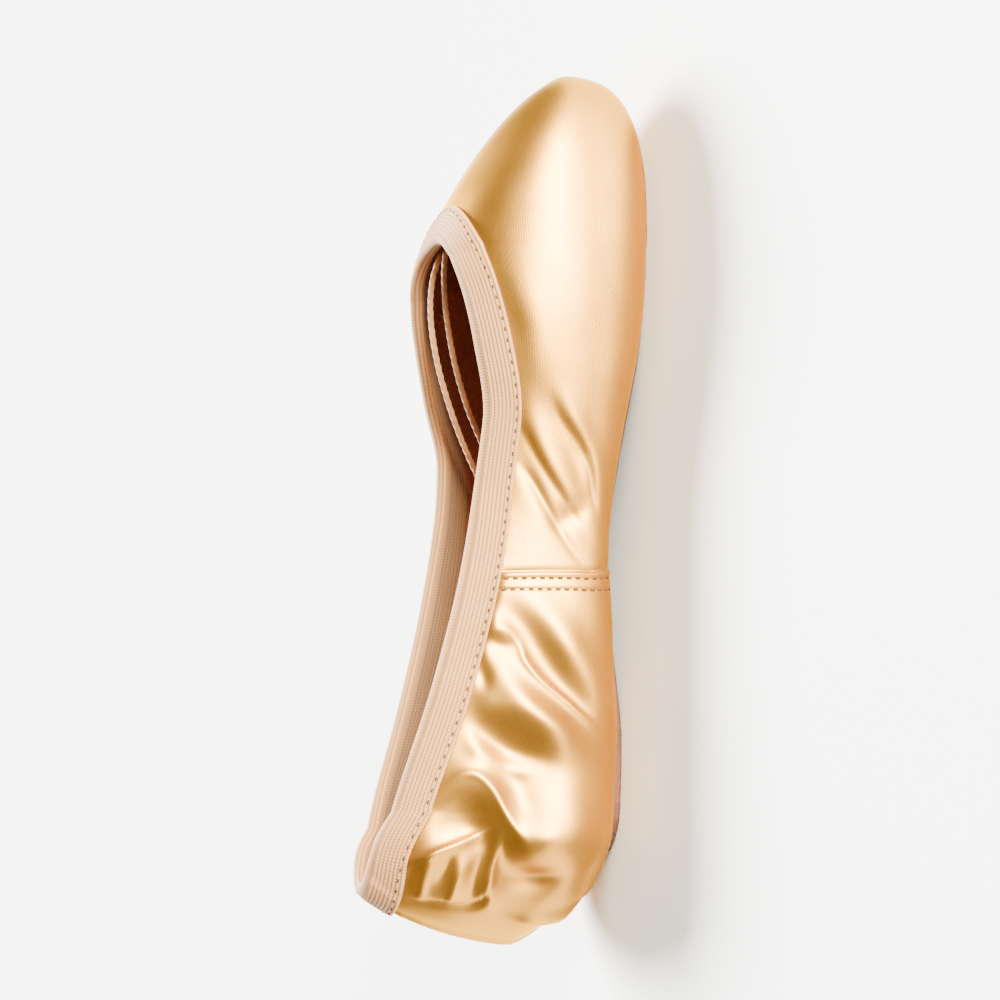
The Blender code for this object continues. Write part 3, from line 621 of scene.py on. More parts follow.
def pleats(q, phi):
    """Height of the pleats beside the sole: rounded crimps of uneven width, full round the toe."""
    place = girth(q)
    crimp = np.abs(np.sin(np.pi * place / PLEAT_PITCH + 0.7 * np.sin(place / (4.1 * MM)))) - 0.5
    toe, heel = ease((q - 2.05) / 0.25), 1 - ease((q - 0.75) / 0.25)
    start, stop = ease((phi / np.pi - 0.68) / 0.10), ease((phi / np.pi - 0.84) / 0.07)
    return PLEAT_DEPTH * (toe + 0.4 * heel) * crimp * start * (1 - stop)


def wall_thickness(x, depth):
    """Thickness of the upper: the quarter's wall, growing to the box's ahead of the waist."""
    forward = ease((x - station_x(0.5)) / (BALL_X - station_x(0.5)))
    below = ease((depth - BINDING_DEPTH) / BOX_BLEND)
    return between(QUARTER_WALL, BOX_WALL, forward * below)


def underside(x, y):
    """Height of the last's underside over a place of the floor: the lower arc of the rib there."""
    q, _ = rib_over(x, np.abs(y))
    foot, c, _, reach = plan_rib(q)
    share = np.clip(np.hypot(x - foot, y) / reach, 0, 0.999)
    belly = along(BELLIES, foot + c * reach)
    power = smooth_curve(q, ROUND_BELOW)
    return belly - (belly - underside_level(x)) * (1 - share**power) ** (1 / power)


def inner_floor(x, y):
    """Height of the upper's inside over a place of the floor: the wall is added square to the slope."""
    slope_x = (underside(x + TINY, y) - underside(x - TINY, y)) / (2 * TINY)
    slope_y = (underside(x, y + TINY) - underside(x, y - TINY)) / (2 * TINY)
    wall = wall_thickness(x, BINDING_DEPTH + BOX_BLEND)
    return underside(x, y) + wall * np.sqrt(1 + slope_x**2 + slope_y**2)


def sock_sections(stations=150, across=32, rim=7):
    """Closed sections of the insole's sock, heel to toe: flat along the floor inside, with a rounded rim.

    The half width follows the last and closes as a quarter ellipse at both ends. Each section runs over the
    top, round one rim, back underneath and round the other rim. The top is a little uneven, as used cloth is.
    """
    rear, front = station_x(0) + 1.4 * INSOLE_MARGIN, station_x(1) - 2 * INSOLE_MARGIN
    heel, ball = HEEL_WIDTH / 2 - INSOLE_MARGIN, BALL_WIDTH / 2 - INSOLE_MARGIN
    x = between(rear, front, (1 - np.cos(np.linspace(0, np.pi, stations))) / 2)
    ends = closing((rear + heel - x) / heel, 2) * closing((x - front + ball) / ball, 2)
    half = (along(WIDTHS, x) / 2 - INSOLE_MARGIN) * ends
    share = np.sin(np.linspace(-np.pi / 2, np.pi / 2, across))
    turn = np.linspace(-np.pi / 2, np.pi / 2, rim)[1:-1]
    bulge = INSOLE_THICKNESS / 2 * np.cos(turn)
    y_share = np.concatenate([share, np.ones(rim - 2), share[::-1], -np.ones(rim - 2)])
    y_bulge = np.concatenate([0 * share, bulge, 0 * share, -bulge])
    level = np.concatenate([1 + 0 * share, 0.5 - 0.5 * np.sin(turn), 0 * share, 0.5 + 0.5 * np.sin(turn)])
    inset = np.minimum(half, INSOLE_THICKNESS / 2)[:, None]
    y = y_share * (half[:, None] - inset) + y_bulge * inset / (INSOLE_THICKNESS / 2)
    spread = np.repeat(x[:, None], len(level), axis=1)
    points = np.stack([spread, y, inner_floor(spread, y) + GAP + INSOLE_THICKNESS * level], -1)
    points[..., 2] += 0.3 * cloth_waves(points) * level
    return points


def satin(q, side, share_of_run=None, runs=None, depth_scale=1.0):
    """Points, normals, runs and angles of the satin's outside, with its seams, pleats and folds."""
    rib, phi, run, _ = down_ribs(q, share_of_run, runs)
    mirror = np.stack([np.ones_like(side), side, np.ones_like(side)], -1)[:, None]
    base = last(rib, phi) * mirror
    normal = last_normal(rib, phi) * mirror
    loose = off_sole(phi) * between(0.12, 1.0, ease((run - 0.6 * BINDING_DEPTH) / (9 * MM)))
    quarter = 1 - ease((rib - SEAM_RIB + 0.25) / 0.6)
    waves = between(0.25, 1.0, quarter) * cloth_waves(base) * depth_scale
    straight = q[:, None] + 0 * phi
    height = loose * (fold_heights(base, depth_scale) + waves)
    height = height + (seams(straight, phi, run) + pleats(straight, phi))
    return base + normal * height[..., None], normal, run, phi


def half_ribs(fine=1.0):
    """Ribs of one side from the middle of the heel to the middle of the toe, closer at the seams."""
    ridge = np.arange(0, 3.2, 0.4) * MM / HEEL_ARC
    heel = np.linspace(3.6 * MM / HEEL_ARC, 1, round(50 / fine), endpoint=False)
    seam = SEAM_RIB + np.arange(-8.8, 1.4, 0.4) * MM / SIDE_RUN
    quarter = np.linspace(1, seam[0], round(84 / fine), endpoint=False)
    vamp = np.linspace(seam[-1], 2, round(66 / fine), endpoint=False)[1:]
    toe = np.linspace(2, 3, round(54 / fine))
    return np.concatenate([ridge, heel, quarter, seam, vamp, toe])


def ring(half):
    """Ribs right round the shoe: along the far side from heel to toe, then back along the near side."""
    q = np.concatenate([half, half[-2:0:-1]])
    return q, np.where(np.arange(len(q)) < len(half), 1.0, -1.0)


def lattice(name, points, uv=None, wrap=(True, True), material_rows=None):
    """A mesh of quads on a grid of points, ribs by rows, facing along next rib crossed with next row."""
    ribs, rows = points.shape[:2]
    i, j = np.meshgrid(
        np.arange(ribs if wrap[0] else ribs - 1), np.arange(rows if wrap[1] else rows - 1), indexing="ij"
    )
    step_i, step_j = i + np.array([0, 1, 1, 0])[:, None, None], j + np.array([0, 0, 1, 1])[:, None, None]
    faces = ((step_i % ribs) * rows + step_j % rows).transpose(1, 2, 0).reshape(-1, 4)
    mesh = bpy.data.meshes.new(name)
    mesh.from_pydata(points.reshape(-1, 3), [], faces)
    if uv is not None:
        corners = uv[step_i, step_j].transpose(1, 2, 0, 3)
        layer = mesh.uv_layers.new(name="cloth")
        layer.data.foreach_set("uv", corners.reshape(-1).astype(np.float32))
    if material_rows is not None:
        rows_of_faces = np.broadcast_to(material_rows[None, : j.shape[1]], j.shape)
        mesh.polygons.foreach_set("material_index", rows_of_faces.reshape(-1).astype(np.int32))
    mesh.shade_smooth()
    mesh.update()
    return mesh


def add_piece(name, mesh, materials, replaced=()):
    """An object at the origin that rides on the shoe's one body."""
    for material in materials:
        mesh.materials.append(material)
    piece = bpy.data.objects.new(name, mesh)
    bpy.context.scene.collection.objects.link(piece)
    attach(piece, "root")
    if replaced:
        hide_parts(*replaced)
    return piece


class Signal:
    """A shader socket that can be used in sums like a number."""

    def __init__(self, dye, socket):
        self.dye = dye
        self.socket = socket

    def _do(self, operation, *terms):
        return self.dye.node("Math", {"operation": operation}, dict(enumerate(terms)))

    def __add__(self, other):
        return self._do("ADD", self, other)

    def __mul__(self, other):
        return self._do("MULTIPLY", self, other)

    __radd__, __rmul__ = __add__, __mul__

    def sine(self):
        return self._do("SINE", self)

    def whole(self):
        return self._do("FLOOR", self)

    def step(self, low, high):
        """0 below low, 1 above high, smooth between."""
        settings = {"interpolation_type": "SMOOTHSTEP"}
        return self.dye.node("MapRange", settings, {"Value": self, "From Min": low, "From Max": high})


def plain(socket):
    """A shader input's name in Blender, from its name in Python."""
    return socket.replace("_", " ").title().replace("Ior", "IOR")


def shaded(color, factor):
    """A colour made darker or lighter."""
    return tuple(min(channel * factor, 1.0) for channel in color)


def wave(signal, pitch):
    """A sine of one turn in each pitch."""
    return (signal * (2 * np.pi / pitch)).sine()


class Dye:
    """A material and the ways to fill it."""

    def __init__(self, name, **constants):
        self.material = bpy.data.materials.new(name)
        self.material.use_nodes = True
        self.tree = self.material.node_tree
        self.shader = self.tree.nodes["Principled BSDF"]
        for socket, value in constants.items():
            self.shader.inputs[plain(socket)].default_value = value

    def node(self, kind, settings=None, values=None, output=0):
        """A node with its settings, its inputs' values or links, and the output asked for."""
        made = self.tree.nodes.new("ShaderNode" + kind)
        for name, value in (settings or {}).items():
            if name == "stops":
                ramp = made.color_ramp
                while len(ramp.elements) < len(value):
                    ramp.elements.new(0.5)
                for element, (place, color) in zip(ramp.elements, value):
                    element.position = place
                    element.color = (*color, 1)
            else:
                setattr(made, name, value)
        for name, value in (values or {}).items():
            if isinstance(value, Signal):
                self.tree.links.new(value.socket, made.inputs[name])
            else:
                made.inputs[name].default_value = value
        return Signal(self, made.outputs[output])

    def place(self):
        """The piece's own coordinates in metres."""
        return self.node("TexCoord", output="Object")

    def first_two(self, vector):
        """A vector's first two parts."""
        return [self.node("SeparateXYZ", None, {0: vector}, output=part) for part in (0, 1)]

    def cloth(self):
        """The piece's cloth coordinates in millimetres: both together, across, and down."""
        both = self.node("UVMap", {"uv_map": "cloth"})
        scaled = self.node("VectorMath", {"operation": "SCALE"}, {0: both, "Scale": 1 / MM})
        return [scaled, *self.first_two(scaled)]

    def noise(self, vector, scale, detail=3.0, roughness=0.5):
        values = {"Vector": vector, "Scale": scale, "Detail": detail, "Roughness": roughness}
        return self.node("TexNoise", None, values)

    def mix(self, factor, low, high):
        """A colour between two."""
        low = (*low, 1) if isinstance(low, tuple) else low
        high = (*high, 1) if isinstance(high, tuple) else high
        return self.node("Mix", {"data_type": "RGBA"}, {0: factor, 6: low, 7: high}, output=2)

    def uneven_color(self, color, pattern, dark, pale, full=0.7):
        """A colour that a pattern makes darker and paler in turn."""
        return self.mix(pattern.step(0.3, full), shaded(color, dark), shaded(color, pale))

    def bump(self, height, strength, distance, below=None):
        values = {"Height": height, "Strength": strength, "Distance": distance}
        if below is not None:
            values["Normal"] = below
        return self.node("Bump", None, values)

    def feed(self, **links):
        """Links what changes over the surface to the shader."""
        for socket, value in links.items():
            self.tree.links.new(value.socket, self.shader.inputs[plain(socket)])
        return self.material


def satin_finish(looks):
    """Peach satin: glossy along its folds, with fine lengthwise floats, faint soiling and uneven dye."""
    color = looks.satin_color
    dye = Dye("satin", metallic=1.0, specular_tint=(1.0, 0.85, 0.45, 1))
    place = dye.place()
    cloth, across, down = dye.cloth()
    uneven = dye.noise(place, 38.0)
    soil = dye.noise(place, 140.0, 5.0).step(0.56, 0.75)
    floats = wave(down * 0.97 + across * 0.16, 0.62)
    picks = (across * (2 * np.pi / 1.3) + (down * 2.1).whole() * 1.9).sine()
    weave = floats * 0.7 + picks * 0.3
    base = dye.uneven_color(color, uneven, 0.92, 1.06)
    base = dye.mix(soil * 0.20, base, shaded(color, 0.62))
    base = dye.mix(weave.step(-1.0, 0.4), shaded(color, 0.94), base)
    rough = 0.33 + 0.10 * uneven + 0.04 * weave
    normal = dye.bump(weave, 0.07, 0.00008)
    normal = dye.bump(dye.noise(cloth, 0.25, 2.0), 0.06, 0.0006, normal)
    return dye.feed(base_color=base, roughness=rough, normal=normal)


def plain_weave(dye, across, down, pitch, base, color, paler):
    """Threads crossing one over one: their paler tops in the colour, and their height as a bump."""
    threads = wave(across, pitch) * wave(down, pitch)
    return dye.mix(threads.step(-0.8, 0.8) * 0.35, base, shaded(color, paler)), dye.bump(threads, 0.4, 0.0002)


def lining_finish(looks):
    """Brown lining cloth inside the upper: plain weave in uneven brown."""
    dye = Dye("lining", sheen_weight=0.2)
    _, across, down = dye.cloth()
    uneven = dye.noise(dye.place(), 55.0, 4.0)
    base = dye.uneven_color(looks.lining_color, uneven, 0.70, 1.25)
    base, normal = plain_weave(dye, across, down, 0.9, base, looks.lining_color, 1.5)
    return dye.feed(base_color=base, roughness=0.78 + 0.12 * uneven, normal=normal)


def sock_finish(looks):
    """Brown cloth of the insole's sock: plain weave, a little paler than the lining."""
    dye = Dye("insole_sock", sheen_weight=0.15)
    place = dye.place()
    uneven = dye.noise(place, 70.0, 4.0)
    base = dye.uneven_color(looks.lining_color, uneven, 0.75, 1.35)
    base, normal = plain_weave(dye, *dye.first_two(place), 0.9 * MM, base, looks.lining_color, 1.6)
    return dye.feed(base_color=base, roughness=0.80 + 0.12 * uneven, normal=normal)


def tape_finish(looks):
    """Matt ribbed tape: fine cross threads, painted shade in the hollows between the ribs, and painted shade
    on the inner leg.
    """
    color = looks.tape_color
    dye = Dye("binding_tape", sheen_weight=0.08, sheen_roughness=0.6)
    _, across, down = dye.cloth()
    depth = BINDING_DEPTH / MM
    cross = (across * (2 * np.pi / 0.8) + (down * 0.9).whole() * 3.1).sine()
    groove_shade = (down * (2 * np.pi * looks.tape_ribs / depth) + np.pi / 2).sine()
    uneven = dye.noise(dye.place(), 90.0, 5.0)
    base = dye.uneven_color(color, uneven, 0.86, 1.08, 0.75)
    base = dye.mix(cross.step(-1.0, 0.6), shaded(color, 0.92), base)
    # Painted shade: the hollows between the ribs are made darker.
    base = dye.mix(groove_shade.step(0.1, 0.9), base, shaded(color, 0.48))
    # Painted shade: the inner leg, which faces into the shoe, is darkened for the shadow there, unevenly by
    # the noise.
    inner_leg_shade = down.step(depth + 1.5, depth + 3.5) * (0.70 + 0.25 * uneven)
    base = dye.mix(inner_leg_shade, base, shaded(color, 0.26))
    rough = 0.80 + 0.15 * uneven
    return dye.feed(base_color=base, roughness=rough, normal=dye.bump(cross, 0.25, 0.00018))


def cord_finish(looks):
    """Pink-beige cotton cord, with fine fibres along its twist."""
    dye = Dye("cord", sheen_weight=0.3)
    _, across, down = dye.cloth()
    fibres = (across * (2 * np.pi / 0.5) + down * 4.0).sine()
    uneven = dye.noise(dye.place(), 300.0, 3.0)
    base = dye.uneven_color(looks.cord_color, uneven, 0.84, 1.10)
    rough = 0.75 + 0.15 * uneven
    return dye.feed(base_color=base, roughness=rough, normal=dye.bump(fibres, 0.3, 0.0001))


def leather_finish(looks):
    """Brown split leather: pebbled grain, uneven brown and pale scuffs."""
    color = looks.leather_color
    dye = Dye("sole_leather", specular_ior_level=0.25)
    place = dye.place()
    grain = dye.node("TexVoronoi", {"feature": "DISTANCE_TO_EDGE"}, {"Vector": place, "Scale": 900.0})
    uneven = dye.noise(place, 60.0, 6.0, 0.6)
    scuffs = dye.noise(place, 210.0, 6.0, 0.7).step(0.56, 0.74)
    base = dye.mix(scuffs * 0.45, dye.uneven_color(color, uneven, 0.72, 1.30), shaded(color, 2.4))
    normal = dye.bump(grain.step(0.0, 0.12), 0.5, 0.0002)
    normal = dye.bump(uneven, 0.3, 0.0008, normal)
    return dye.feed(base_color=base, roughness=0.62 + 0.25 * uneven, normal=normal)


def thread_finish(looks):
    """Dull sewing thread, coloured dark as painted shade of the stitch holes."""
    dye = Dye("sewing_thread", specular_ior_level=0.0)
    uneven = dye.noise(dye.place(), 500.0, 2.0)
    base = dye.uneven_color(looks.thread_and_hole_shade_color, uneven, 0.8, 1.15)
    return dye.feed(base_color=base, roughness=0.6 + 0.2 * uneven)


def tube(name, points, radius):
    """A cord's surface: a lobed circle carried along the path, with its lobes wound round by the twist."""
    tangents = unit(np.gradient(points, axis=0))
    across = unit(np.cross(tangents, np.array([0.0, 1.0, 0.0])))
    other = np.cross(tangents, across)
    run = run_along(points)
    angle = np.linspace(0, 2 * np.pi, 18, endpoint=False)
    wound = CORD_STRANDS * (angle[None] - 2 * np.pi * run[:, None] / CORD_TWIST)
    cap = np.clip(np.minimum(np.arange(len(run)), np.arange(len(run))[::-1]) / 2.0, 0, 1) ** 0.5
    reach = (radius * (0.90 + 0.10 * np.cos(wound)) * np.maximum(cap, 0.02)[:, None])[..., None]
    shape = points[:, None] + reach * (
        np.cos(angle)[None, :, None] * across[:, None] + np.sin(angle)[None, :, None] * other[:, None]
    )
    girths = np.linspace(0, 2 * np.pi * radius, 19)
    uv = np.stack(np.meshgrid(run, girths, indexing="ij"), -1)
    return lattice(name, shape, uv, wrap=(False, True))


def collar_slant(q, side):
    """How much longer a rib runs than the tape is deep: one over the sine of its angle with the edge."""
    points, _, _, _ = satin(q, side, runs=np.tile([0.0, 1.5 * MM], (len(q), 1)))
    edge = unit(np.roll(points[:, 0], -1, axis=0) - np.roll(points[:, 0], 1, axis=0))
    rib = unit(points[:, 1] - points[:, 0])
    return 1 / np.maximum(np.linalg.norm(np.cross(edge, rib), axis=-1), 0.5)


def tape_lift(q, side):
    """How far the tape's end stands out where it laps over its beginning, near the centre back."""
    from_back = np.where(q < 1, q * HEEL_ARC, HEEL_ARC) * -side
    over = ease(from_back / (0.8 * MM) + 0.5) * (1 - ease((from_back - TAPE_OVERLAP) / (0.8 * MM)))
    return TAPE_STEP * over


def rib_heights(count):
    """Heights of the ribs down one leg of the tape, whose raw edge is thin and flat."""
    share = np.linspace(0, 1, TAPE_ROWS)
    full = ease(np.minimum(share / 0.06, 1))
    ribs = 0.5 - 0.5 * np.cos(2 * np.pi * count * share)
    return TAPE_RIB * ribs * full + between(-0.35, 0.0, full) * BINDING_THICKNESS


def tape_sections(q, side, looks):
    """Closed sections of the tape: ribbed outer leg, half turn over the edge, inner leg and hidden side."""
    runs = np.linspace(BINDING_DEPTH, TAPE_ROLL, TAPE_ROWS) * collar_slant(q, side)[:, None]
    points, normal, _, _ = satin(q, side, runs=runs, depth_scale=looks.fold_depth)
    face = (GAP + BINDING_THICKNESS + rib_heights(looks.tape_ribs))[None, :, None]
    outer = points + normal * (face + tape_lift(q, side)[:, None, None])
    inner = (points - normal * (QUARTER_WALL + face))[:, ::-1]
    top = points[:, -1:] - normal[:, -1:] * QUARTER_WALL / 2
    upwards = unit(points[:, -1:] - points[:, -6:-5])
    sideways = unit(normal[:, -1:] - upwards * np.sum(normal[:, -1:] * upwards, -1, keepdims=True))

    def over_edge(turn, reach):
        """Half circle of a reach from the outer to the inner leg."""
        lift = BINDING_HEADROOM + TAPE_ROLL + reach * np.sin(turn)
        return top + upwards * lift + sideways * reach * np.cos(turn)

    turn = np.linspace(0, np.pi, 11)[1:-1][None, :, None]
    inside = QUARTER_WALL / 2 + GAP
    hidden = np.arange(-1, -TAPE_ROWS - 1, -7)
    return np.concatenate(
        [
            outer,
            over_edge(turn, inside + BINDING_THICKNESS),
            inner,
            (points - normal * (QUARTER_WALL + GAP))[:, hidden[::-1]],
            over_edge(turn[:, ::-2], inside),
            (points + normal * GAP)[:, hidden],
        ],
        axis=1,
    )


def stitch_mesh(name, centres, ways, ups, bulk):
    """Many stitches as one mesh: each is six rings of six points, a rounded bar scaled to its bulk."""
    turns = np.linspace(0, 2 * np.pi, 7)[:-1]
    rings = np.array([-1.0, -0.82, -0.4, 0.4, 0.82, 1.0])
    size = np.array([0.05, 0.7, 1.0, 1.0, 0.7, 0.05])[:, None]
    bar = np.stack([np.repeat(rings, 6), (size * np.cos(turns)).ravel(), (size * np.sin(turns)).ravel()], -1)
    axes = np.stack([ways, np.cross(ups, ways), ups], 1)
    points = centres[:, None] + (bar[None] * bulk[:, None] / 2) @ axes
    i, j = np.meshgrid(np.arange(5), np.arange(6), indexing="ij")
    after = (j + 1) % 6
    quads = np.stack([i * 6 + after, (i + 1) * 6 + after, (i + 1) * 6 + j, i * 6 + j], -1).reshape(-1, 4)
    caps = np.array([[3, 2, 1, 0], [5, 4, 3, 0], [30, 31, 32, 33], [30, 33, 34, 35]])
    faces = np.concatenate([quads, caps])[None] + 36 * np.arange(len(centres))[:, None, None]
    mesh = bpy.data.meshes.new(name)
    mesh.from_pydata(points.reshape(-1, 3), [], faces.reshape(-1, 4))
    mesh.shade_smooth()
    return mesh


def stitch_places(line, normal, pitch, bulk):
    """Points, directions, normals and sizes of stitches at an even pitch along a line of points."""
    steps = run_along(line)
    at = np.arange(pitch / 2, steps[-1], pitch)
    points, ahead, up = (
        np.stack([np.interp(places, steps, values[:, axis]) for axis in range(3)], -1)
        for places, values in ((at, line), (at + 0.2 * MM, line), (at, normal))
    )
    up = unit(up)
    way = unit(ahead - points)
    return points, unit(way - up * np.sum(way * up, -1, keepdims=True)), up, np.tile(bulk, (len(at), 1))


def tape_row(side, looks):
    """The row of stitches near the tape's lower edge, on one side of the shoe."""
    q = np.linspace(0, 3, 700)
    sides = np.full(len(q), side)
    runs = np.full((len(q), 1), BINDING_DEPTH - TAPE_ROW_INSET)
    line, normal, _, _ = satin(q, sides, runs=runs, depth_scale=looks.fold_depth)
    out = (GAP + BINDING_THICKNESS + STITCH_STAND + tape_lift(q, sides))[:, None]
    return stitch_places(line[:, 0] + normal[:, 0] * out, normal[:, 0], looks.stitch_pitch, TAPE_STITCH)


def seam_row(side, behind, looks):
    """One row behind the side seam's edge, from the tape down to the sole."""
    runs = np.linspace(BINDING_DEPTH + 0.5 * MM, SEAM_END, 400)[None]
    q = np.array([SEAM_RIB - behind / SIDE_RUN])
    line, normal, _, phi = satin(q, np.array([side]), runs=runs, depth_scale=looks.fold_depth)
    shown = phi[0] < 0.70 * np.pi
    return stitch_places(line[0][shown], normal[0][shown], looks.seam_pitch, SEAM_STITCH)


def color_setting(name, description, default):
    """A colour that a user can change."""
    return bpy.props.FloatVectorProperty(
        name=name, description=description, subtype="COLOR", default=default, min=0, max=1
    )


def length_setting(name, description, default):
    """A length that a user can change."""
    return bpy.props.FloatProperty(name=name, description=description, unit="LENGTH", default=default)


class ShoeLooks(bpy.types.PropertyGroup):
    """Sizes, colours and lights that a user would change."""

    satin_color: color_setting("Satin", "Colour of the satin", (0.55, 0.245, 0.030))
    lining_color: color_setting("Lining", "Colour of the lining and sock", (0.22, 0.055, 0.014))
    tape_color: color_setting("Tape", "Colour of the collar's tape", (0.47, 0.210, 0.068))
    cord_color: color_setting("Cord", "Colour of the drawstring", (0.44, 0.19, 0.06))
    leather_color: color_setting("Leather", "Colour of the outsole", (0.100, 0.034, 0.016))
    # Partly the thread's own colour and partly painted shade: it is dark for the shadow in the stitch holes.
    thread_and_hole_shade_color: color_setting("Thread", "Colour of the stitches", (0.100, 0.043, 0.016))
    cord_diameter: length_setting("Cord diameter", "Thickness of the drawstring", 0.0016)
    stitch_pitch: length_setting("Stitch pitch", "Distance between the tape's stitches", 0.0030)
    seam_pitch: length_setting("Seam pitch", "Distance between the side seams' stitches", 0.0023)
    fold_depth: bpy.props.FloatProperty(
        name="Fold depth", description="Share of the folds' full depth", subtype="FACTOR", default=1.0
    )
    tape_ribs: bpy.props.IntProperty(name="Tape ribs", description="Ribs across the tape", default=8)
    light_power: bpy.props.FloatProperty(
        name="Light", description="Power of the key light in watts", default=230.0
    )


def settings():
    """The scene's own settings."""
    return bpy.context.scene.pointe_shoe


def back_direction(azimuth, elevation):
    """Unit vector from the shoe towards a viewer at an azimuth and elevation in degrees."""
    a, e = np.radians([azimuth, elevation])
    return Vector((np.sin(a) * np.cos(e), -np.cos(a) * np.cos(e), np.sin(e)))


class SHOE_OT_stage(bpy.types.Operator):
    """Camera at the photograph's angle, pale floor and soft lights"""

    bl_idname = "pointe_shoe.stage"
    bl_label = "Stage"

    def execute(self, context):
        self.add_camera(context)
        self.add_floor(context)
        self.add_key_light(context)
        self.add_daylight(context)
        context.scene.world = bpy.data.worlds.new("studio")
        context.scene.world.use_nodes = True
        background = context.scene.world.node_tree.nodes["Background"]
        background.inputs["Color"].default_value = STUDIO_COLOR
        background.inputs["Strength"].default_value = STUDIO_STRENGTH
        return {"FINISHED"}

    def add_camera(self, context):
        """The shoe's length runs up the picture: up is +X squared to the view, then rolled a little."""
        data = bpy.data.cameras.new("photo_camera")
        data.lens = LENS
        data.sensor_width = 36.0
        data.clip_start = 0.01
        camera = bpy.data.objects.new("photo_camera", data)
        context.scene.collection.objects.link(camera)
        back = back_direction(*CAMERA_VIEW)
        up = Vector((1, 0, 0))
        up = (up - back * up.dot(back)).normalized()
        right = up.cross(back)
        roll = np.radians(CAMERA_ROLL)
        up_rolled = up * np.cos(roll) + right * np.sin(roll)
        right_rolled = right * np.cos(roll) - up * np.sin(roll)
        turn = Matrix((right_rolled, up_rolled, back)).transposed()
        aimed = Matrix.Rotation(CAMERA_TURN[0], 3, "X") @ Matrix.Rotation(CAMERA_TURN[1], 3, "Y")
        eye = Vector(CAMERA_TARGET) + back * CAMERA_DISTANCE
        camera.matrix_world = Matrix.Translation(eye) @ (turn @ aimed).to_4x4()
        context.scene.camera = camera

    def add_floor(self, context):
        """A flat disc, wide enough to fill the view."""
        radius = np.array(FLOOR_RINGS)
        turn = np.linspace(0, 2 * np.pi, 72, endpoint=False)[:, None]
        points = np.stack([radius * np.cos(turn), radius * np.sin(turn), 0 * (radius + turn)], -1)
        mesh = lattice("floor", points[:, ::-1], wrap=(True, False))
        floor = bpy.data.objects.new("floor", mesh)
        context.scene.collection.objects.link(floor)
        dye = Dye("pale_paper", roughness=0.85)
        tone = dye.noise(dye.place(), 3.0)
        mesh.materials.append(dye.feed(base_color=dye.mix(tone, (0.90, 0.90, 0.89), (0.92, 0.92, 0.91))))

    def add_key_light(self, context):
        """A wide, low, warm light that faces the shoe's side."""
        data = bpy.data.lights.new("key", "AREA")
        data.shape = "RECTANGLE"
        data.size, data.size_y = KEY_SIZE
        data.energy = settings().light_power
        data.color = KEY_COLOR
        self.add_light(context, data, back_direction(*KEY_VIEW) * KEY_DISTANCE, CAMERA_TARGET)

    def add_daylight(self, context):
        """Wide soft daylight from above and behind, the same all over the floor."""
        data = bpy.data.lights.new("daylight", "SUN")
        data.angle = np.radians(DAYLIGHT_ANGLE)
        data.energy = DAYLIGHT_STRENGTH
        self.add_light(context, data, back_direction(*DAYLIGHT_VIEW), (0, 0, 0))

    def add_light(self, context, data, place, target):
        """A light at a place, looking at a target."""
        light = bpy.data.objects.new(data.name, data)
        context.scene.collection.objects.link(light)
        turn = (Vector(target) - place).to_track_quat("-Z", "Y").to_matrix().to_4x4()
        light.matrix_world = Matrix.Translation(place) @ turn


class SHOE_OT_drawstring(bpy.types.Operator):
    """The drawstring's two loose ends, twisted cords that lie in the shoe"""

    bl_idname = "pointe_shoe.drawstring"
    bl_label = "Drawstring ends"

    def execute(self, context):
        finish = cord_finish(settings())
        diameter = settings().cord_diameter
        for name, route in CORD_ROUTES.items():
            points = spline(route, 0.45 * MM)
            mesh = tube(name, points, diameter / 2)
            piece = add_piece(name, mesh, [finish], [CORD_NODES[name]])
        return {"FINISHED"}


class SHOE_OT_upper(bpy.types.Operator):
    """Satin upper with its folds, side seams and pleats, and the lining inside it"""

    bl_idname = "pointe_shoe.upper"
    bl_label = "Satin upper"

    def execute(self, context):
        looks = settings()
        q, side = ring(half_ribs())
        down, up = np.linspace(0, 1, SATIN_ROWS), np.linspace(1, 0, LINING_ROWS)
        outside, _, run, _ = satin(q, side, down, depth_scale=looks.fold_depth)
        points, normal, inner_run, _ = satin(q, side, up, depth_scale=looks.fold_depth)
        inside = points - normal * wall_thickness(points[..., 0], inner_run)[..., None]
        grid = np.concatenate([outside, inside], axis=1)
        whole = 2 * girth(np.array(3.0))
        place = np.append(np.where(side > 0, girth(q), whole - girth(q)), whole - girth(np.array(0.0)))
        runs = np.concatenate([run, inner_run, inner_run[:, -1:]], axis=1)
        runs = np.concatenate([runs, runs[:1]], axis=0)
        uv = np.stack([np.broadcast_to(place[:, None], runs.shape), runs], -1)
        lined = np.where(np.arange(grid.shape[1]) < SATIN_ROWS - 1, 0, 1)
        mesh = lattice("satin_upper", grid, uv, material_rows=lined)
        add_piece("satin_upper", mesh, [satin_finish(looks), lining_finish(looks)], ["upper"])
        return {"FINISHED"}


class SHOE_OT_binding(bpy.types.Operator):
    """Ribbed tape folded over the collar's edge"""

    bl_idname = "pointe_shoe.binding"
    bl_label = "Collar binding"

    def execute(self, context):
        q, side = ring(half_ribs(1.3))
        grid = tape_sections(q, side, settings())
        place = run_along(grid[:, TAPE_ROWS // 2])
        place = np.append(place, 2 * place[-1] - place[-2])
        down = run_along(grid.mean(0))
        down = np.append(down, down[-1])
        down[:TAPE_ROWS] = np.linspace(0, 1, TAPE_ROWS) * BINDING_DEPTH
        uv = np.stack(np.meshgrid(place, down, indexing="ij"), -1)
        mesh = lattice("collar_binding", grid[:, ::-1], uv[:, ::-1])
        add_piece("collar_binding", mesh, [tape_finish(settings())], ["binding"])
        return {"FINISHED"}


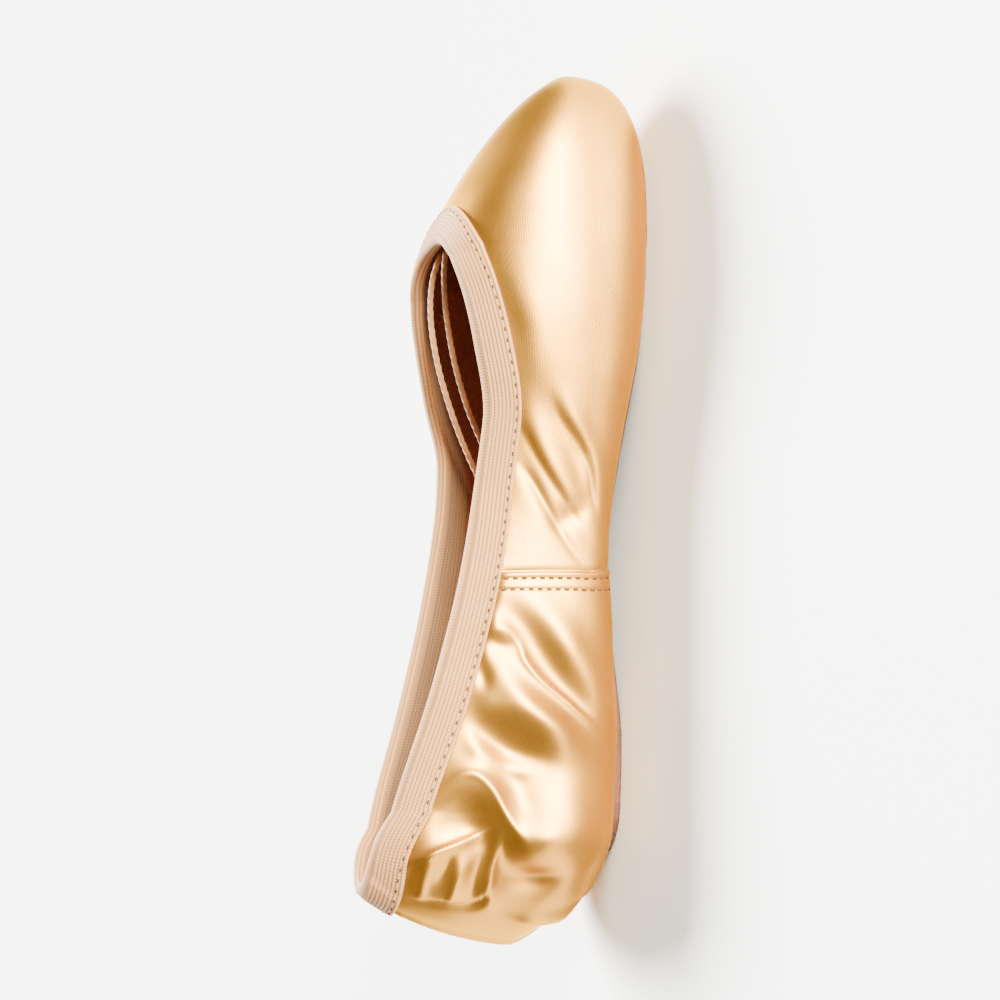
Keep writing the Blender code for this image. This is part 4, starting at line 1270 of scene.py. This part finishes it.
class SHOE_OT_stitching(bpy.types.Operator):
    """Lockstitch rows of the side seams and the binding"""

    bl_idname = "pointe_shoe.stitching"
    bl_label = "Stitching"

    def execute(self, context):
        looks = settings()
        rows = []
        for side in (1.0, -1.0):
            rows.append(tape_row(side, looks))
            rows += [seam_row(side, behind, looks) for behind in SEAM_ROWS]
        mesh = stitch_mesh("stitches", *(np.concatenate(parts) for parts in zip(*rows)))
        add_piece("stitches", mesh, [thread_finish(looks)])
        return {"FINISHED"}


class SHOE_OT_outsole(bpy.types.Operator):
    """Leather finish on the solid model's outsole"""

    bl_idname = "pointe_shoe.outsole"
    bl_label = "Outsole"

    def execute(self, context):
        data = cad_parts["outsole"].data
        data.materials.clear()
        data.materials.append(leather_finish(settings()))
        return {"FINISHED"}


class SHOE_OT_insole(bpy.types.Operator):
    """Thin cloth sock that lies in the shoe"""

    bl_idname = "pointe_shoe.insole"
    bl_label = "Insole sock"

    def execute(self, context):
        mesh = lattice("insole_sock", sock_sections(), wrap=(False, True))
        shape = bmesh.new()
        shape.from_mesh(mesh)
        bmesh.ops.remove_doubles(shape, verts=shape.verts, dist=0.005 * MM)
        shape.to_mesh(mesh)
        shape.free()
        add_piece("insole_sock", mesh, [sock_finish(settings())], ["insole"])
        return {"FINISHED"}


class SHOE_PT_panel(bpy.types.Panel):
    """The shoe's settings and pieces"""

    bl_idname = "SHOE_PT_panel"
    bl_label = "Pointe shoe"
    bl_space_type = "VIEW_3D"
    bl_region_type = "UI"
    bl_category = "Pointe shoe"

    def draw(self, context):
        for name in ShoeLooks.__annotations__:
            self.layout.prop(context.scene.pointe_shoe, name)
        for operator in OPERATORS:
            self.layout.operator(operator.bl_idname)


OPERATORS = (
    SHOE_OT_stage,
    SHOE_OT_drawstring,
    SHOE_OT_upper,
    SHOE_OT_binding,
    SHOE_OT_stitching,
    SHOE_OT_outsole,
    SHOE_OT_insole,
)
CLASSES = (ShoeLooks, *OPERATORS, SHOE_PT_panel)


def register():
    for made in CLASSES:
        bpy.utils.register_class(made)
    bpy.types.Scene.pointe_shoe = bpy.props.PointerProperty(type=ShoeLooks)


def unregister():
    del bpy.types.Scene.pointe_shoe
    for made in reversed(CLASSES):
        bpy.utils.unregister_class(made)


def main():
    register()
    bpy.ops.pointe_shoe.stage()
    bpy.ops.pointe_shoe.drawstring()
    bpy.ops.pointe_shoe.upper()
    bpy.ops.pointe_shoe.binding()
    bpy.ops.pointe_shoe.stitching()
    bpy.ops.pointe_shoe.outsole()
    bpy.ops.pointe_shoe.insole()


if __name__ == "__main__":
    main()
